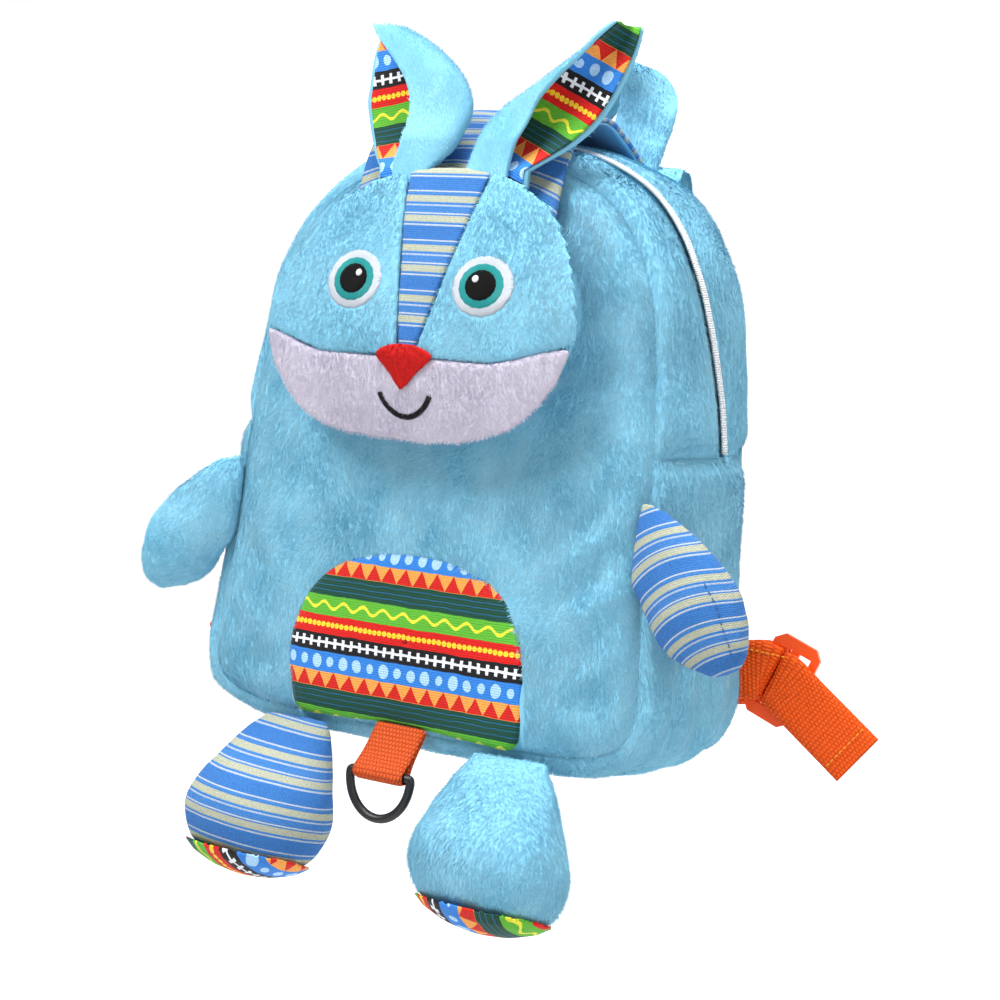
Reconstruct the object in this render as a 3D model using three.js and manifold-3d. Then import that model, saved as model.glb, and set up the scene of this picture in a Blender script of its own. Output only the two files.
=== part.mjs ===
// A toddler's plush rabbit backpack, in millimetres: +X to the viewer's right, +Y to the wearer's back, +Z up.
// The bag hangs by the grab handle at its top. Sewn pieces are thin walls, stuffed pieces are solid.
import * as THREE from 'three';
import Module from 'manifold-3d';

const wasm = await Module();
wasm.setup();

// Bag body
const FRONT_HALF_WIDTH = 110;
const BACK_HALF_WIDTH = 118.5;
const FRONT_HEIGHT = 262;
const BACK_HEIGHT = 273;
const FRONT_Y = -46;
const FRONT_LEAN = 0.035;
const BACK_Y = 44;
const FRONT_CROWN = 8;
const BACK_CROWN = 3;
const BACK_FLAT_SHARE = 0.45;
const GUSSET_BULGE = 8;
const CLOTH = 2;
const THIN_CLOTH = 1.2;
const GAP = 0.3;

// Zip, on the upper part of the gusset
const CROSS_SEAM_HEIGHT = 135;
const ZIP_WIDTH = 5;
const ZIP_SLIDER_LENGTH = 11;
const ZIP_SLIDER_WIDTH = 8;
const ZIP_TAB_LENGTH = 22;
const ZIP_TAB_WIDTH = 6;

// Belly patch
const PATCH_HALF_WIDTH = 62;
const PATCH_HEIGHT = 77;
const PATCH_FOOT = 4.5;

// Head
const HEAD_HALF_WIDTH = 77;
const HEAD_HEIGHT = 121;
const HEAD_TOP_DROP = 10;
const HEAD_CHIN_Z = FRONT_HEIGHT - HEAD_TOP_DROP - HEAD_HEIGHT;
const HEAD_X = -3;
const HEAD_TOP_SHIFT = 6;
const HEAD_Y = -68;
const HEAD_TOP_Y = -59.5;
const HEAD_FRONT_CROWN = 8.5;
const HEAD_BACK_CROWN = 11;
const MUZZLE_CROWN = 3.5;
const MUZZLE_REACH_OUT = 34;
const MUZZLE_REACH_UP = 20;
const MUZZLE_RISE = 29;
const STRIPE_TOP_HALF_WIDTH = 21;
const STRIPE_FOOT_HALF_WIDTH = 4.7;
const STRIPE_FOOT_RISE = 41;
const MUZZLE_SEAM_RISE = 36.5;
const MUZZLE_CORNER_RISE = 10;
const EYE_SPACING = 31.5;
const EYE_RISE = 68.5;
const EYE_WIDTH = 28;
const EYE_HEIGHT = 26;
const NOSE_WIDTH = 28;
const NOSE_HEIGHT = 19.5;
const NOSE_TOP_RISE = 42;
const NOSE_THICK = 2.4;
const MOUTH_WIDTH = 24.5;
const MOUTH_DROP = 9.5;
const MOUTH_RISE = 20.5;
const MOUTH_LINE = 1.8;
const STITCH_THICK = 0.8;

// Crown flap, from the head's top seam over the bag to the back seam
const FLAP_HALF_WIDTH = 50;
const FLAP_RISE = 15;
const FLAP_REAR_RISE = 4;

// Ears
const EAR_ROOT_DROP = 1;
const EAR_SPREAD = 80;
const EAR_HEIGHT = 64;
const EAR_Y = -49;
const EAR_ROOT_FORWARD = 8;
const EAR_PLUSH = 2.4;
const EAR_OPENING = 7;

// Arms and legs
const ARM_LENGTH = 68;
const ARM_HALF_WIDTH = 22.5;
const ARM_HALF_THICK = 13;
const ARM_ROOT_Z = 98;
const ARM_ANGLE = 44;
const ARM_UPRIGHT_SHARE = 0.5; // of its length, over which its sections turn from the upright seam
const LEG_LENGTH = 63;
const LEG_HALF_WIDTH = 38.5;
const LEG_HALF_DEPTH = 26;
const LEG_ROOT_X = 55;
const LEG_FOOT_X = 60;
const LEG_FOOT_FORWARD = 24;
const SOLE_TILT = 20;
const SOLE_DOME = 7;

// Grab handle
const HANDLE_WIDTH = 28;
const HANDLE_THICK = 4;
const HANDLE_RISE = 49;
const HANDLE_REACH = 44;

// Front webbing loop and its D-ring
const LOOP_WIDTH = 25;
const WEBBING = 1.6;
const RING_WIRE = 4;
const RING_INSIDE = 26.4;
const RING_DROP = 20;
const RING_Y = -63;
const RING_Z = -13.5;
const LOOP_ROOT_Z = 5;

// Shoulder straps
const PAD_WIDTH = 38;
const PAD_THICK = 8;
const STRAP_WIDTH = 27.7;
const SLIDER_LENGTH = 41;
const SLIDER_WIDTH = 24;
const SLIDER_THICK = 2.6;
const SLIDER_BAR = 4;
const SLIDER_SLOT = 6;
const SLIDER_X = 137.5;
const SLIDER_Y = 60;
const SLIDER_Z = 39;
const SLIDER_TURN = 21.4;
const TAIL_LENGTH = 50;
const TAIL_TURN = 37;
const PAD_ROOT_X = 46;
const PAD_END_X = 75;
const PAD_END_Y = 56;
const WEBBING_FOOT_X = 44;
const WEBBING_FOOT_Z = 20;

// Half of the bag's outline from the bottom centre to the top centre, as shares of half width and height
const OUTLINE = [
  { w: 0, h: 0 }, { w: 0.5, h: 0.002 }, { w: 0.73, h: 0.009 }, { w: 0.89, h: 0.027 }, { w: 0.965, h: 0.052 },
  { w: 1, h: 0.1 }, { w: 0.998, h: 0.15 }, { w: 0.98, h: 0.24 }, { w: 0.965, h: 0.35 }, { w: 0.958, h: 0.47 },
  { w: 0.93, h: 0.61 }, { w: 0.882, h: 0.748 }, { w: 0.828, h: 0.82 }, { w: 0.764, h: 0.872 },
  { w: 0.68, h: 0.916 }, { w: 0.575, h: 0.95 }, { w: 0.42, h: 0.98 }, { w: 0.21, h: 0.996 }, { w: 0, h: 1 },
];
// Half of the head's outline from the chin to the top, in the same shares
const HEAD_OUTLINE = [
  { w: 0, h: 0 }, { w: 0.4, h: 0.008 }, { w: 0.66, h: 0.062 }, { w: 0.83, h: 0.15 }, { w: 0.925, h: 0.235 },
  { w: 0.98, h: 0.31 }, { w: 1, h: 0.4 }, { w: 0.985, h: 0.49 }, { w: 0.95, h: 0.57 }, { w: 0.89, h: 0.67 },
  { w: 0.785, h: 0.785 }, { w: 0.68, h: 0.87 }, { w: 0.53, h: 0.93 }, { w: 0.3, h: 0.98 }, { w: 0, h: 1 },
];
// Right half of the belly patch, in shares of its half width and height
const PATCH_OUTLINE = [
  { w: 0, h: 0.02 }, { w: 0.6, h: 0 }, { w: 0.9, h: 0.01 }, { w: 0.97, h: 0.16 }, { w: 1, h: 0.38 },
  { w: 0.93, h: 0.62 }, { w: 0.8, h: 0.78 }, { w: 0.62, h: 0.9 }, { w: 0.36, h: 0.975 }, { w: 0, h: 1 },
];
// Where the zip lies across the gusset, 0 at the front seam and 1 at the back seam, by share of height
const ZIP_PLACE = [
  { h: 0.5, t: 0.62 }, { h: 0.6, t: 0.56 }, { h: 0.67, t: 0.49 }, { h: 0.74, t: 0.42 }, { h: 0.82, t: 0.37 },
  { h: 1, t: 0.34 },
];
// The crown flap's middle line: share of its depth, and share of the rise to its top from its own end
const FLAP_LINE = [
  { y: 0, rise: 0 }, { y: 0.1, rise: 0.38 }, { y: 0.2, rise: 0.62 }, { y: 0.38, rise: 0.92 }, { y: 0.55, rise: 1 },
  { y: 0.72, rise: 0.86 }, { y: 0.88, rise: 0.5 }, { y: 1, rise: 0 },
];
// Each ear at shares of its height: fold, near edge and far edge from the bag's middle, as shares of the spread
const EAR_LEFT = [
  { h: 0, fold: -0.113, near: -0.338, far: -0.425 }, { h: 0.12, fold: -0.037, near: -0.319, far: -0.506 },
  { h: 0.28, fold: 0.013, near: -0.306, far: -0.575 }, { h: 0.48, fold: 0.031, near: -0.319, far: -0.631 },
  { h: 0.62, fold: -0.025, near: -0.362, far: -0.625 }, { h: 0.76, fold: -0.138, near: -0.444, far: -0.625 },
  { h: 0.88, fold: -0.263, near: -0.512, far: -0.625 }, { h: 0.98, fold: -0.438, near: -0.569, far: -0.588 },
];
const EAR_RIGHT = [
  { h: 0, fold: 0.138, near: 0.375, far: 0.475 }, { h: 0.14, fold: 0.15, near: 0.4, far: 0.613 },
  { h: 0.3, fold: 0.194, near: 0.45, far: 0.75 }, { h: 0.46, fold: 0.325, near: 0.5, far: 0.844 },
  { h: 0.62, fold: 0.512, near: 0.606, far: 0.906 }, { h: 0.78, fold: 0.7, near: 0.738, far: 0.956 },
  { h: 0.9, fold: 0.812, near: 0.831, far: 0.981 }, { h: 0.98, fold: 0.9, near: 0.906, far: 0.988 },
];
// An arm from its seam to its tip, in shares of length, half width and half thickness; hang drops the middle
const ARM_SECTIONS = [
  { s: 0, w: 0.66, t: 0.15, hang: 0 }, { s: 0.08, w: 0.72, t: 0.38, hang: 0 }, { s: 0.25, w: 0.86, t: 0.78, hang: 0 },
  { s: 0.45, w: 0.97, t: 1, hang: 0.01 }, { s: 0.64, w: 0.92, t: 0.98, hang: 0.02 },
  { s: 0.8, w: 0.66, t: 0.8, hang: 0.03 }, { s: 0.92, w: 0.4, t: 0.5, hang: 0.04 },
];
// A leg from its seam to its sole seam, in shares of length, half width and half depth
const LEG_SECTIONS = [
  { s: 0, w: 0.5, d: 0.12 }, { s: 0.1, w: 0.56, d: 0.35 }, { s: 0.3, w: 0.73, d: 0.66 },
  { s: 0.55, w: 0.9, d: 0.9 }, { s: 0.78, w: 0.99, d: 1.02 }, { s: 1, w: 0.96, d: 1 },
];

const point = (x, y, z) => new THREE.Vector3(x, y, z);
const lerp = THREE.MathUtils.lerp;
const rad = THREE.MathUtils.degToRad;

// Value of a table's column at a share, straight between rows
function read(rows, key, column, at) {
  if (at <= rows[0][key]) return rows[0][column];
  for (let i = 1; i < rows.length; i += 1) {
    if (at <= rows[i][key]) {
      const share = (at - rows[i - 1][key]) / (rows[i][key] - rows[i - 1][key]);
      return lerp(rows[i - 1][column], rows[i][column], share);
    }
  }
  return rows[rows.length - 1][column];
}

// A closed mesh through rings of equal length, turned so that its faces point out
function closedMesh(vertices, faces) {
  let volume = 0;
  faces.forEach(([a, b, c]) => {
    volume += vertices[a].dot(point(0, 0, 0).crossVectors(vertices[b], vertices[c]));
  });
  const turned = volume < 0 ? faces.map(([a, b, c]) => [a, c, b]) : faces;
  const geometry = new THREE.BufferGeometry();
  geometry.setAttribute('position', new THREE.Float32BufferAttribute(vertices.flatMap((v) => v.toArray()), 3));
  geometry.setIndex(turned.flat());
  return geometry;
}

function centreOf(ring) {
  return ring.reduce((sum, p) => sum.add(p), point(0, 0, 0)).multiplyScalar(1 / ring.length);
}

// Ends close to a pole, or straight across from face to face for a sheet
function throughRings(rings, { firstPole, lastPole, loop = false, sheet = false } = {}) {
  const count = rings[0].length;
  const vertices = rings.flat();
  const faces = [];
  const turns = loop ? rings.length : rings.length - 1;
  for (let i = 0; i < turns; i += 1) {
    const low = i * count;
    const high = ((i + 1) % rings.length) * count;
    for (let j = 0; j < count; j += 1) {
      const next = (j + 1) % count;
      faces.push([low + j, low + next, high + j], [low + next, high + next, high + j]);
    }
  }
  const end = (rings.length - 1) * count;
  if (sheet) {
    for (let j = 0; j < count / 2 - 1; j += 1) {
      const [a, b, c, d] = [j, j + 1, count - 2 - j, count - 1 - j];
      faces.push([b, a, d], [b, d, c], [end + a, end + b, end + d], [end + b, end + c, end + d]);
    }
  } else if (!loop) {
    const first = vertices.push(firstPole || centreOf(rings[0])) - 1;
    const last = vertices.push(lastPole || centreOf(rings[rings.length - 1])) - 1;
    for (let j = 0; j < count; j += 1) {
      const next = (j + 1) % count;
      faces.push([next, j, first], [end + j, end + next, last]);
    }
  }
  return closedMesh(vertices, faces);
}

// Cutting and joining
function solidOf(geometry) {
  return new wasm.Manifold(new wasm.Mesh({
    numProp: 3,
    vertProperties: new Float32Array(geometry.attributes.position.array),
    triVerts: new Uint32Array(geometry.index.array),
  }));
}

function geometryOf(solid) {
  const mesh = solid.getMesh();
  const geometry = new THREE.BufferGeometry();
  geometry.setAttribute('position', new THREE.Float32BufferAttribute(mesh.vertProperties, 3));
  geometry.setIndex(Array.from(mesh.triVerts));
  return geometry;
}

// The same piece on the bag's other side
function otherSide(geometry) {
  return geometryOf(solidOf(geometry).mirror([1, 0, 0]));
}

function without(geometry, ...cutters) {
  const cut = cutters.reduce((solid, cutter) => solid.subtract(solidOf(cutter)), solidOf(geometry));
  const pieces = cut.decompose().sort((a, b) => b.volume() - a.volume());
  return geometryOf(pieces[0]);
}

// A smooth closed outline from half of it, as shares, sampled evenly along its length
function mirroredOutline(rows, halfWidth, height) {
  const right = rows.map(({ w, h }) => point(w * halfWidth, 0, h * height));
  const left = right.slice(1, -1).reverse().map((p) => point(-p.x, 0, p.z));
  return new THREE.CatmullRomCurve3([...right, ...left], true, 'centripetal');
}

// Bag shell
const bagCurve = mirroredOutline(OUTLINE, 1, 1.15);
bagCurve.arcLengthDivisions = 800;

function outlineShare(u) {
  const p = bagCurve.getPointAt(((u % 1) + 1) % 1);
  return { w: p.x, h: p.z / 1.15 };
}

function outwardAt(u) {
  const ahead = outlineShare(u + 0.002);
  const behind = outlineShare(u - 0.002);
  const run = (ahead.w - behind.w) * FRONT_HALF_WIDTH;
  const rise = (ahead.h - behind.h) * FRONT_HEIGHT;
  return point(rise, 0, -run).normalize();
}

const seamFrontY = (z) => FRONT_Y + FRONT_LEAN * z;

function frontSeam(u) {
  const { w, h } = outlineShare(u);
  return point(w * FRONT_HALF_WIDTH, seamFrontY(h * FRONT_HEIGHT), h * FRONT_HEIGHT);
}

function backSeam(u) {
  const { w, h } = outlineShare(u);
  return point(w * BACK_HALF_WIDTH, BACK_Y, h * BACK_HEIGHT);
}

// A point of the gusset: t runs from the front panel's edge to the back panel's edge
function gussetPoint(u, t, lift) {
  const front = frontSeam(u);
  const back = backSeam(u);
  front.y += CLOTH + GAP;
  back.y -= CLOTH + GAP;
  const swell = GUSSET_BULGE * Math.sqrt(Math.max(0, 1 - (2 * t - 1) ** 2));
  return front.lerp(back, t).addScaledVector(outwardAt(u), swell + lift);
}

// Shares across the gusset, closer together near the seams where it turns in steeply
function acrossShares(from, to, count) {
  const a = Math.acos(1 - 2 * from);
  const b = Math.acos(1 - 2 * to);
  return Array.from({ length: count + 1 }, (_, i) => (1 - Math.cos(lerp(a, b, i / count))) / 2);
}

function gussetStrip(from, to, steps, lowShare, highShare, parts, wall) {
  const rings = [];
  for (let i = 0; i <= steps; i += 1) {
    const u = lerp(from, to, i / steps);
    const shares = acrossShares(lowShare(u), highShare(u), parts);
    const outer = shares.map((t) => gussetPoint(u, t, 0));
    const inner = shares.map((t) => gussetPoint(u, t, -wall)).reverse();
    rings.push([...outer, ...inner]);
  }
  return throughRings(rings, { sheet: true });
}

function crossSeamPlace() {
  let low = 0.05;
  let high = 0.45;
  for (let i = 0; i < 40; i += 1) {
    const middle = (low + high) / 2;
    if (outlineShare(middle).h * FRONT_HEIGHT < CROSS_SEAM_HEIGHT) low = middle;
    else high = middle;
  }
  return low;
}

const AROUND = 40;
const ALONG_GUSSET = 24;
const ACROSS_GUSSET = 6;
const DEPTH = BACK_Y - FRONT_Y - 2 * (CLOTH + GAP);
const crossSeam = crossSeamPlace();
const seamGap = GAP / (2 * (FRONT_HEIGHT + BACK_HEIGHT));
const zipPlace = (u) => read(ZIP_PLACE, 'h', 't', outlineShare(u).h);
const zipHalf = ZIP_WIDTH / 2 / DEPTH;
const clearShare = GAP / DEPTH;

function frontZipGusset() {
  return gussetStrip(crossSeam + seamGap, 1 - crossSeam - seamGap, ALONG_GUSSET,
    () => 0, (u) => zipPlace(u) - zipHalf - clearShare, 3, CLOTH);
}

function rearZipGusset() {
  return gussetStrip(crossSeam + seamGap, 1 - crossSeam - seamGap, ALONG_GUSSET,
    (u) => zipPlace(u) + zipHalf + clearShare, () => 1, 4, CLOTH);
}

function zipper() {
  return gussetStrip(crossSeam + seamGap, 1 - crossSeam - seamGap, ALONG_GUSSET,
    (u) => zipPlace(u) - zipHalf, (u) => zipPlace(u) + zipHalf, 1, THIN_CLOTH);
}

function lowerGusset() {
  return gussetStrip(-crossSeam + seamGap, crossSeam - seamGap, ALONG_GUSSET,
    () => 0, () => 1, ACROSS_GUSSET, CLOTH);
}

const panelCentre = { w: 0, h: 0.5 };

function frontHalfWidthAt(z) {
  return FRONT_HALF_WIDTH * read(OUTLINE, 'h', 'w', z / FRONT_HEIGHT);
}

// The stuffed front swells between its side seams and between its top and bottom seams
function frontPanelY(x, z) {
  const side = Math.min(1, Math.abs(x) / Math.max(1, frontHalfWidthAt(z)));
  const level = Math.min(1, Math.abs((2 * z) / FRONT_HEIGHT - 1));
  return seamFrontY(z) - FRONT_CROWN * (1 - side ** 2.6) * (1 - level ** 4);
}

function backPanelY(share) {
  const slope = Math.max(0, (share - BACK_FLAT_SHARE) / (1 - BACK_FLAT_SHARE));
  return BACK_Y + BACK_CROWN * (1 - slope ** 2);
}

const PANEL_RINGS = [0.35, 0.65, 0.87, 1];

function panelRing(share, halfWidth, height, yOf, grow = 0) {
  return Array.from({ length: AROUND }, (_, i) => {
    const u = i / AROUND;
    const { w, h } = outlineShare(u);
    const x = share * w * halfWidth;
    const z = lerp(panelCentre.h, h, share) * height;
    return point(x, yOf(x, z, share), z).addScaledVector(outwardAt(u), grow);
  });
}

function frontPanel() {
  const middle = panelCentre.h * FRONT_HEIGHT;
  const face = (x, z) => frontPanelY(x, z);
  const lining = (x, z) => frontPanelY(x, z) + CLOTH;
  const rings = [
    ...PANEL_RINGS.map((s) => panelRing(s, FRONT_HALF_WIDTH, FRONT_HEIGHT, face)),
    ...[...PANEL_RINGS].reverse().map((s) => panelRing(s, FRONT_HALF_WIDTH, FRONT_HEIGHT, lining)),
  ];
  return throughRings(rings, {
    firstPole: point(0, face(0, middle), middle), lastPole: point(0, lining(0, middle), middle),
  });
}

function backPanel() {
  const middle = panelCentre.h * BACK_HEIGHT;
  const face = (x, z, share) => backPanelY(share);
  const lining = (x, z, share) => backPanelY(share) - CLOTH;
  const shares = [BACK_FLAT_SHARE, 0.66, 0.84, 1];
  const rings = [
    ...shares.map((s) => panelRing(s, BACK_HALF_WIDTH, BACK_HEIGHT, face)),
    ...[...shares].reverse().map((s) => panelRing(s, BACK_HALF_WIDTH, BACK_HEIGHT, lining)),
  ];
  return throughRings(rings, {
    firstPole: point(0, face(0, 0, 0), middle), lastPole: point(0, lining(0, 0, 0), middle),
  });
}

// The whole closed bag, grown by a clearance: what is sewn on outside is cut back to it
function bagEnvelope(clear) {
  const middle = panelCentre.h * FRONT_HEIGHT;
  const backMiddle = panelCentre.h * BACK_HEIGHT;
  const face = (x, z) => frontPanelY(x, z) - clear;
  const rear = (x, z, share) => backPanelY(share) + clear;
  const across = acrossShares(0, 1, 2 * ACROSS_GUSSET);
  const rings = [
    ...PANEL_RINGS.map((s) => panelRing(s, FRONT_HALF_WIDTH, FRONT_HEIGHT, face, s === 1 ? clear : 0)),
    ...across.map((t) => Array.from({ length: AROUND }, (_, i) => gussetPoint(i / AROUND, t, clear))),
    ...[1, 0.84, 0.66, BACK_FLAT_SHARE].map((s) => panelRing(s, BACK_HALF_WIDTH, BACK_HEIGHT, rear, s === 1 ? clear : 0)),
  ];
  return throughRings(rings, {
    firstPole: point(0, face(0, middle), middle), lastPole: point(0, rear(0, 0, 0), backMiddle),
  });
}

const bagClear = bagEnvelope(1.5 * GAP);

const PATCH_AROUND = 30;

function bellyPatch() {
  const curve = mirroredOutline(PATCH_OUTLINE, PATCH_HALF_WIDTH, PATCH_HEIGHT);
  const edge = curve.getSpacedPoints(PATCH_AROUND).slice(0, PATCH_AROUND);
  const middle = PATCH_HEIGHT / 2;
  const place = (p, share, back) => {
    const x = p.x * share;
    const z = PATCH_FOOT + lerp(middle, p.z, share);
    return point(x, frontPanelY(x, z) - GAP - (back ? 0 : THIN_CLOTH), z);
  };
  const shares = [0.35, 0.7, 1];
  const rings = [
    ...shares.map((s) => edge.map((p) => place(p, s, false))),
    ...[...shares].reverse().map((s) => edge.map((p) => place(p, s, true))),
  ];
  const centre = point(0, 0, middle);
  return throughRings(rings, { firstPole: place(centre, 1, false), lastPole: place(centre, 1, true) });
}

// Zip slider with its pull tab, parked at the zip's left end
function zipSlider() {
  const u = 1 - crossSeam - 0.018;
  const t = zipPlace(u);
  const seat = gussetPoint(u, t, GAP);
  const ahead = gussetPoint(u - 0.01, zipPlace(u - 0.01), GAP);
  const along = ahead.clone().sub(seat).normalize();
  const out = outwardAt(u).addScaledVector(along, -outwardAt(u).dot(along)).normalize();
  const side = point(0, 0, 0).crossVectors(out, along);
  const at = (a, s, o) => seat.clone().addScaledVector(along, a).addScaledVector(side, s).addScaledVector(out, o);
  const rows = [
    { a: ZIP_SLIDER_LENGTH / 2, half: ZIP_SLIDER_WIDTH / 2, low: 0.6, high: 3.2 },
    { a: 0, half: ZIP_SLIDER_WIDTH * 0.4, low: 0.4, high: 4 },
    { a: -ZIP_SLIDER_LENGTH / 2, half: ZIP_TAB_WIDTH / 2, low: 1, high: 3.4 },
    { a: -ZIP_TAB_LENGTH, half: ZIP_TAB_WIDTH / 2, low: 1.6, high: 3.4 },
    { a: -ZIP_TAB_LENGTH - 3, half: ZIP_TAB_WIDTH * 0.3, low: 1.8, high: 3.2 },
  ];
  return throughRings(rows.map(({ a, half, low, high }) => [
    at(a, -half, low), at(a, half, low), at(a, half, high), at(a, -half, high),
  ]));
}

// Head
const HEAD_AROUND = 32;
const headCurve = mirroredOutline(HEAD_OUTLINE, HEAD_HALF_WIDTH, HEAD_HEIGHT);
const headEdge = headCurve.getSpacedPoints(HEAD_AROUND).slice(0, HEAD_AROUND);
const headMiddleZ = HEAD_HEIGHT * 0.47;

function headSeamY(z) {
  const h = THREE.MathUtils.clamp(z / HEAD_HEIGHT, 0, 1);
  return lerp(HEAD_Y, HEAD_TOP_Y, THREE.MathUtils.smoothstep(h, 0.38, 1));
}

// A point of the head at a share of the way to its edge; bulge is in front of the seam when positive
function headPoint(edge, share, bulge) {
  const z = lerp(headMiddleZ, edge.z, share);
  const x = HEAD_X + edge.x * share + HEAD_TOP_SHIFT * (z / HEAD_HEIGHT) ** 2;
  const muzzle = bulge > 0
    ? MUZZLE_CROWN * Math.exp(-((x / MUZZLE_REACH_OUT) ** 2) - (((z - MUZZLE_RISE) / MUZZLE_REACH_UP) ** 2)) : 0;
  const swell = bulge * (1 - share ** 2.4) ** 0.7 + muzzle * (1 - share ** 4);
  return point(x, headSeamY(z) - swell, z + HEAD_CHIN_Z);
}

const HEAD_RINGS = [0.3, 0.6, 0.82, 0.95, 1];

function headHalf(bulge, seamOffset) {
  const middle = point(0, 0, headMiddleZ);
  const shifted = (ring, dy) => ring.map((p) => point(p.x, p.y + dy, p.z));
  const face = HEAD_RINGS.map((s) => shifted(headEdge.map((e) => headPoint(e, s, bulge)), 2 * seamOffset));
  const flat = [...HEAD_RINGS].reverse().filter((s) => s !== 0.95)
    .map((s) => shifted(headEdge.map((e) => headPoint(e, s, 0)), seamOffset));
  const top = headPoint(middle, 1, 0);
  const firstPole = headPoint(point(0, 0, headMiddleZ), 0, bulge);
  firstPole.y += 2 * seamOffset;
  top.y += seamOffset;
  return throughRings([...face, ...flat], { firstPole, lastPole: top });
}

function prism(outline, fromY, toY) {
  const flat = outline.map(([x, z]) => new THREE.Vector2(x, z));
  if (THREE.ShapeUtils.isClockWise(flat)) flat.reverse();
  const count = flat.length;
  const vertices = [fromY, toY].flatMap((y) => flat.map((p) => point(p.x, y, p.y)));
  const caps = THREE.ShapeUtils.triangulateShape(flat, []);
  const sides = flat.flatMap((_, i) => {
    const next = (i + 1) % count;
    return [[i, next, count + i], [next, count + next, count + i]];
  });
  const near = caps.map(([a, b, c]) => [a, c, b]);
  const far = caps.map(([a, b, c]) => [count + a, count + b, count + c]);
  return closedMesh(vertices, [...near, ...far, ...sides]);
}

const frontHead = headHalf(HEAD_FRONT_CROWN, -GAP / 2);
const backHead = headHalf(-HEAD_BACK_CROWN, GAP / 2);

// The muzzle seam: level in the middle, rising to the cheeks
const muzzleSeamZ = (x) => HEAD_CHIN_Z + MUZZLE_SEAM_RISE
  + MUZZLE_CORNER_RISE * THREE.MathUtils.smoothstep(Math.abs(x - HEAD_X), HEAD_HALF_WIDTH / 2, HEAD_HALF_WIDTH * 1.05);
const stripeEdgeX = (side, z) => {
  const share = (z - HEAD_CHIN_Z - STRIPE_FOOT_RISE) / (HEAD_HEIGHT - STRIPE_FOOT_RISE);
  return HEAD_TOP_SHIFT * 0.5 * share + side * lerp(STRIPE_FOOT_HALF_WIDTH, STRIPE_TOP_HALF_WIDTH, share);
};

function headFacePanels() {
  const wide = HEAD_HALF_WIDTH * 1.4;
  const high = HEAD_CHIN_Z + HEAD_HEIGHT + 10;
  const near = HEAD_Y - 40;
  const far = HEAD_TOP_Y + 5;
  const seamAt = [-1.4, -1.01, -0.86, -0.73, -0.6, -0.5, 0, 0.42, 0.52, 0.65, 0.78, 0.93, 1.4]
    .map((share) => share * HEAD_HALF_WIDTH);
  const upper = seamAt.map((x) => [x, muzzleSeamZ(x) + GAP / 2]);
  const muzzleShape = [...seamAt.map((x) => [x, muzzleSeamZ(x) - GAP / 2]), [wide, HEAD_CHIN_Z - 20],
    [-wide, HEAD_CHIN_Z - 20]];
  const foot = muzzleSeamZ(0) + GAP / 2;
  const sidePanel = (side) => {
    const edge = [[stripeEdgeX(side, foot) + side * GAP / 2, foot], [stripeEdgeX(side, high) + side * GAP / 2, high]];
    const seam = upper.filter(([x]) => side * x > STRIPE_TOP_HALF_WIDTH);
    const ordered = side > 0 ? seam : [...seam].reverse();
    return [edge[1], edge[0], ...ordered, [side * wide, high]];
  };
  const stripe = [
    [stripeEdgeX(-1, foot) + GAP / 2, foot], [stripeEdgeX(1, foot) - GAP / 2, foot],
    [stripeEdgeX(1, high) - GAP / 2, high], [stripeEdgeX(-1, high) + GAP / 2, high],
  ];
  const cut = (outline) => geometryOf(solidOf(frontHead).intersect(solidOf(prism(outline, near, far))));
  return {
    head_cheek_left: cut(sidePanel(-1)),
    head_cheek_right: cut(sidePanel(1)),
    head_forehead: cut(stripe),
    head_muzzle: cut(muzzleShape),
  };
}

// Where a line along +Y first meets the face
const faceMesh = new THREE.Mesh(frontHead, new THREE.MeshStandardMaterial({ side: THREE.DoubleSide }));
faceMesh.updateMatrixWorld();
const ray = new THREE.Raycaster();

function faceY(x, z) {
  ray.set(point(x, HEAD_Y - 60, z), point(0, 1, 0));
  const hits = ray.intersectObject(faceMesh);
  return hits.length > 0 ? hits[0].point.y : headSeamY(z - HEAD_CHIN_Z);
}

// A flat piece laid on the face, from an outline in x and z
function onFace(outline, thick, clear, crown = 0) {
  const middle = centreOf(outline);
  const place = (p, share, back) => {
    const x = lerp(middle.x, p.x, share);
    const z = lerp(middle.z, p.z, share);
    const rise = back ? 0 : thick + crown * (1 - share ** 2);
    return point(x, faceY(x, z) - clear - rise, z);
  };
  const shares = [0.5, 1];
  const rings = [
    ...shares.map((s) => outline.map((p) => place(p, s, false))),
    ...[...shares].reverse().map((s) => outline.map((p) => place(p, s, true))),
  ];
  return throughRings(rings, { firstPole: place(middle, 0, false), lastPole: place(middle, 0, true) });
}

const EYE_AROUND = 20;

function eye(side) {
  const outline = Array.from({ length: EYE_AROUND }, (_, i) => {
    const a = (i / EYE_AROUND) * Math.PI * 2;
    return point(side * EYE_SPACING + Math.cos(a) * EYE_WIDTH / 2, 0, HEAD_CHIN_Z + EYE_RISE + Math.sin(a) * EYE_HEIGHT / 2);
  });
  return onFace(outline, STITCH_THICK, GAP * 1.5);
}

function nose() {
  const half = NOSE_WIDTH / 2;
  const top = HEAD_CHIN_Z + NOSE_TOP_RISE;
  const curve = new THREE.CatmullRomCurve3([
    point(0, 0, top - NOSE_HEIGHT), point(half * 0.5, 0, top - NOSE_HEIGHT * 0.62),
    point(half, 0, top - NOSE_HEIGHT * 0.25), point(half * 0.6, 0, top - NOSE_HEIGHT * 0.06),
    point(0, 0, top), point(-half * 0.6, 0, top - NOSE_HEIGHT * 0.06),
    point(-half, 0, top - NOSE_HEIGHT * 0.25), point(-half * 0.5, 0, top - NOSE_HEIGHT * 0.62),
  ], true, 'centripetal');
  return onFace(curve.getSpacedPoints(24).slice(0, 24), THIN_CLOTH, GAP * 1.5, NOSE_THICK - THIN_CLOTH);
}

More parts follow.
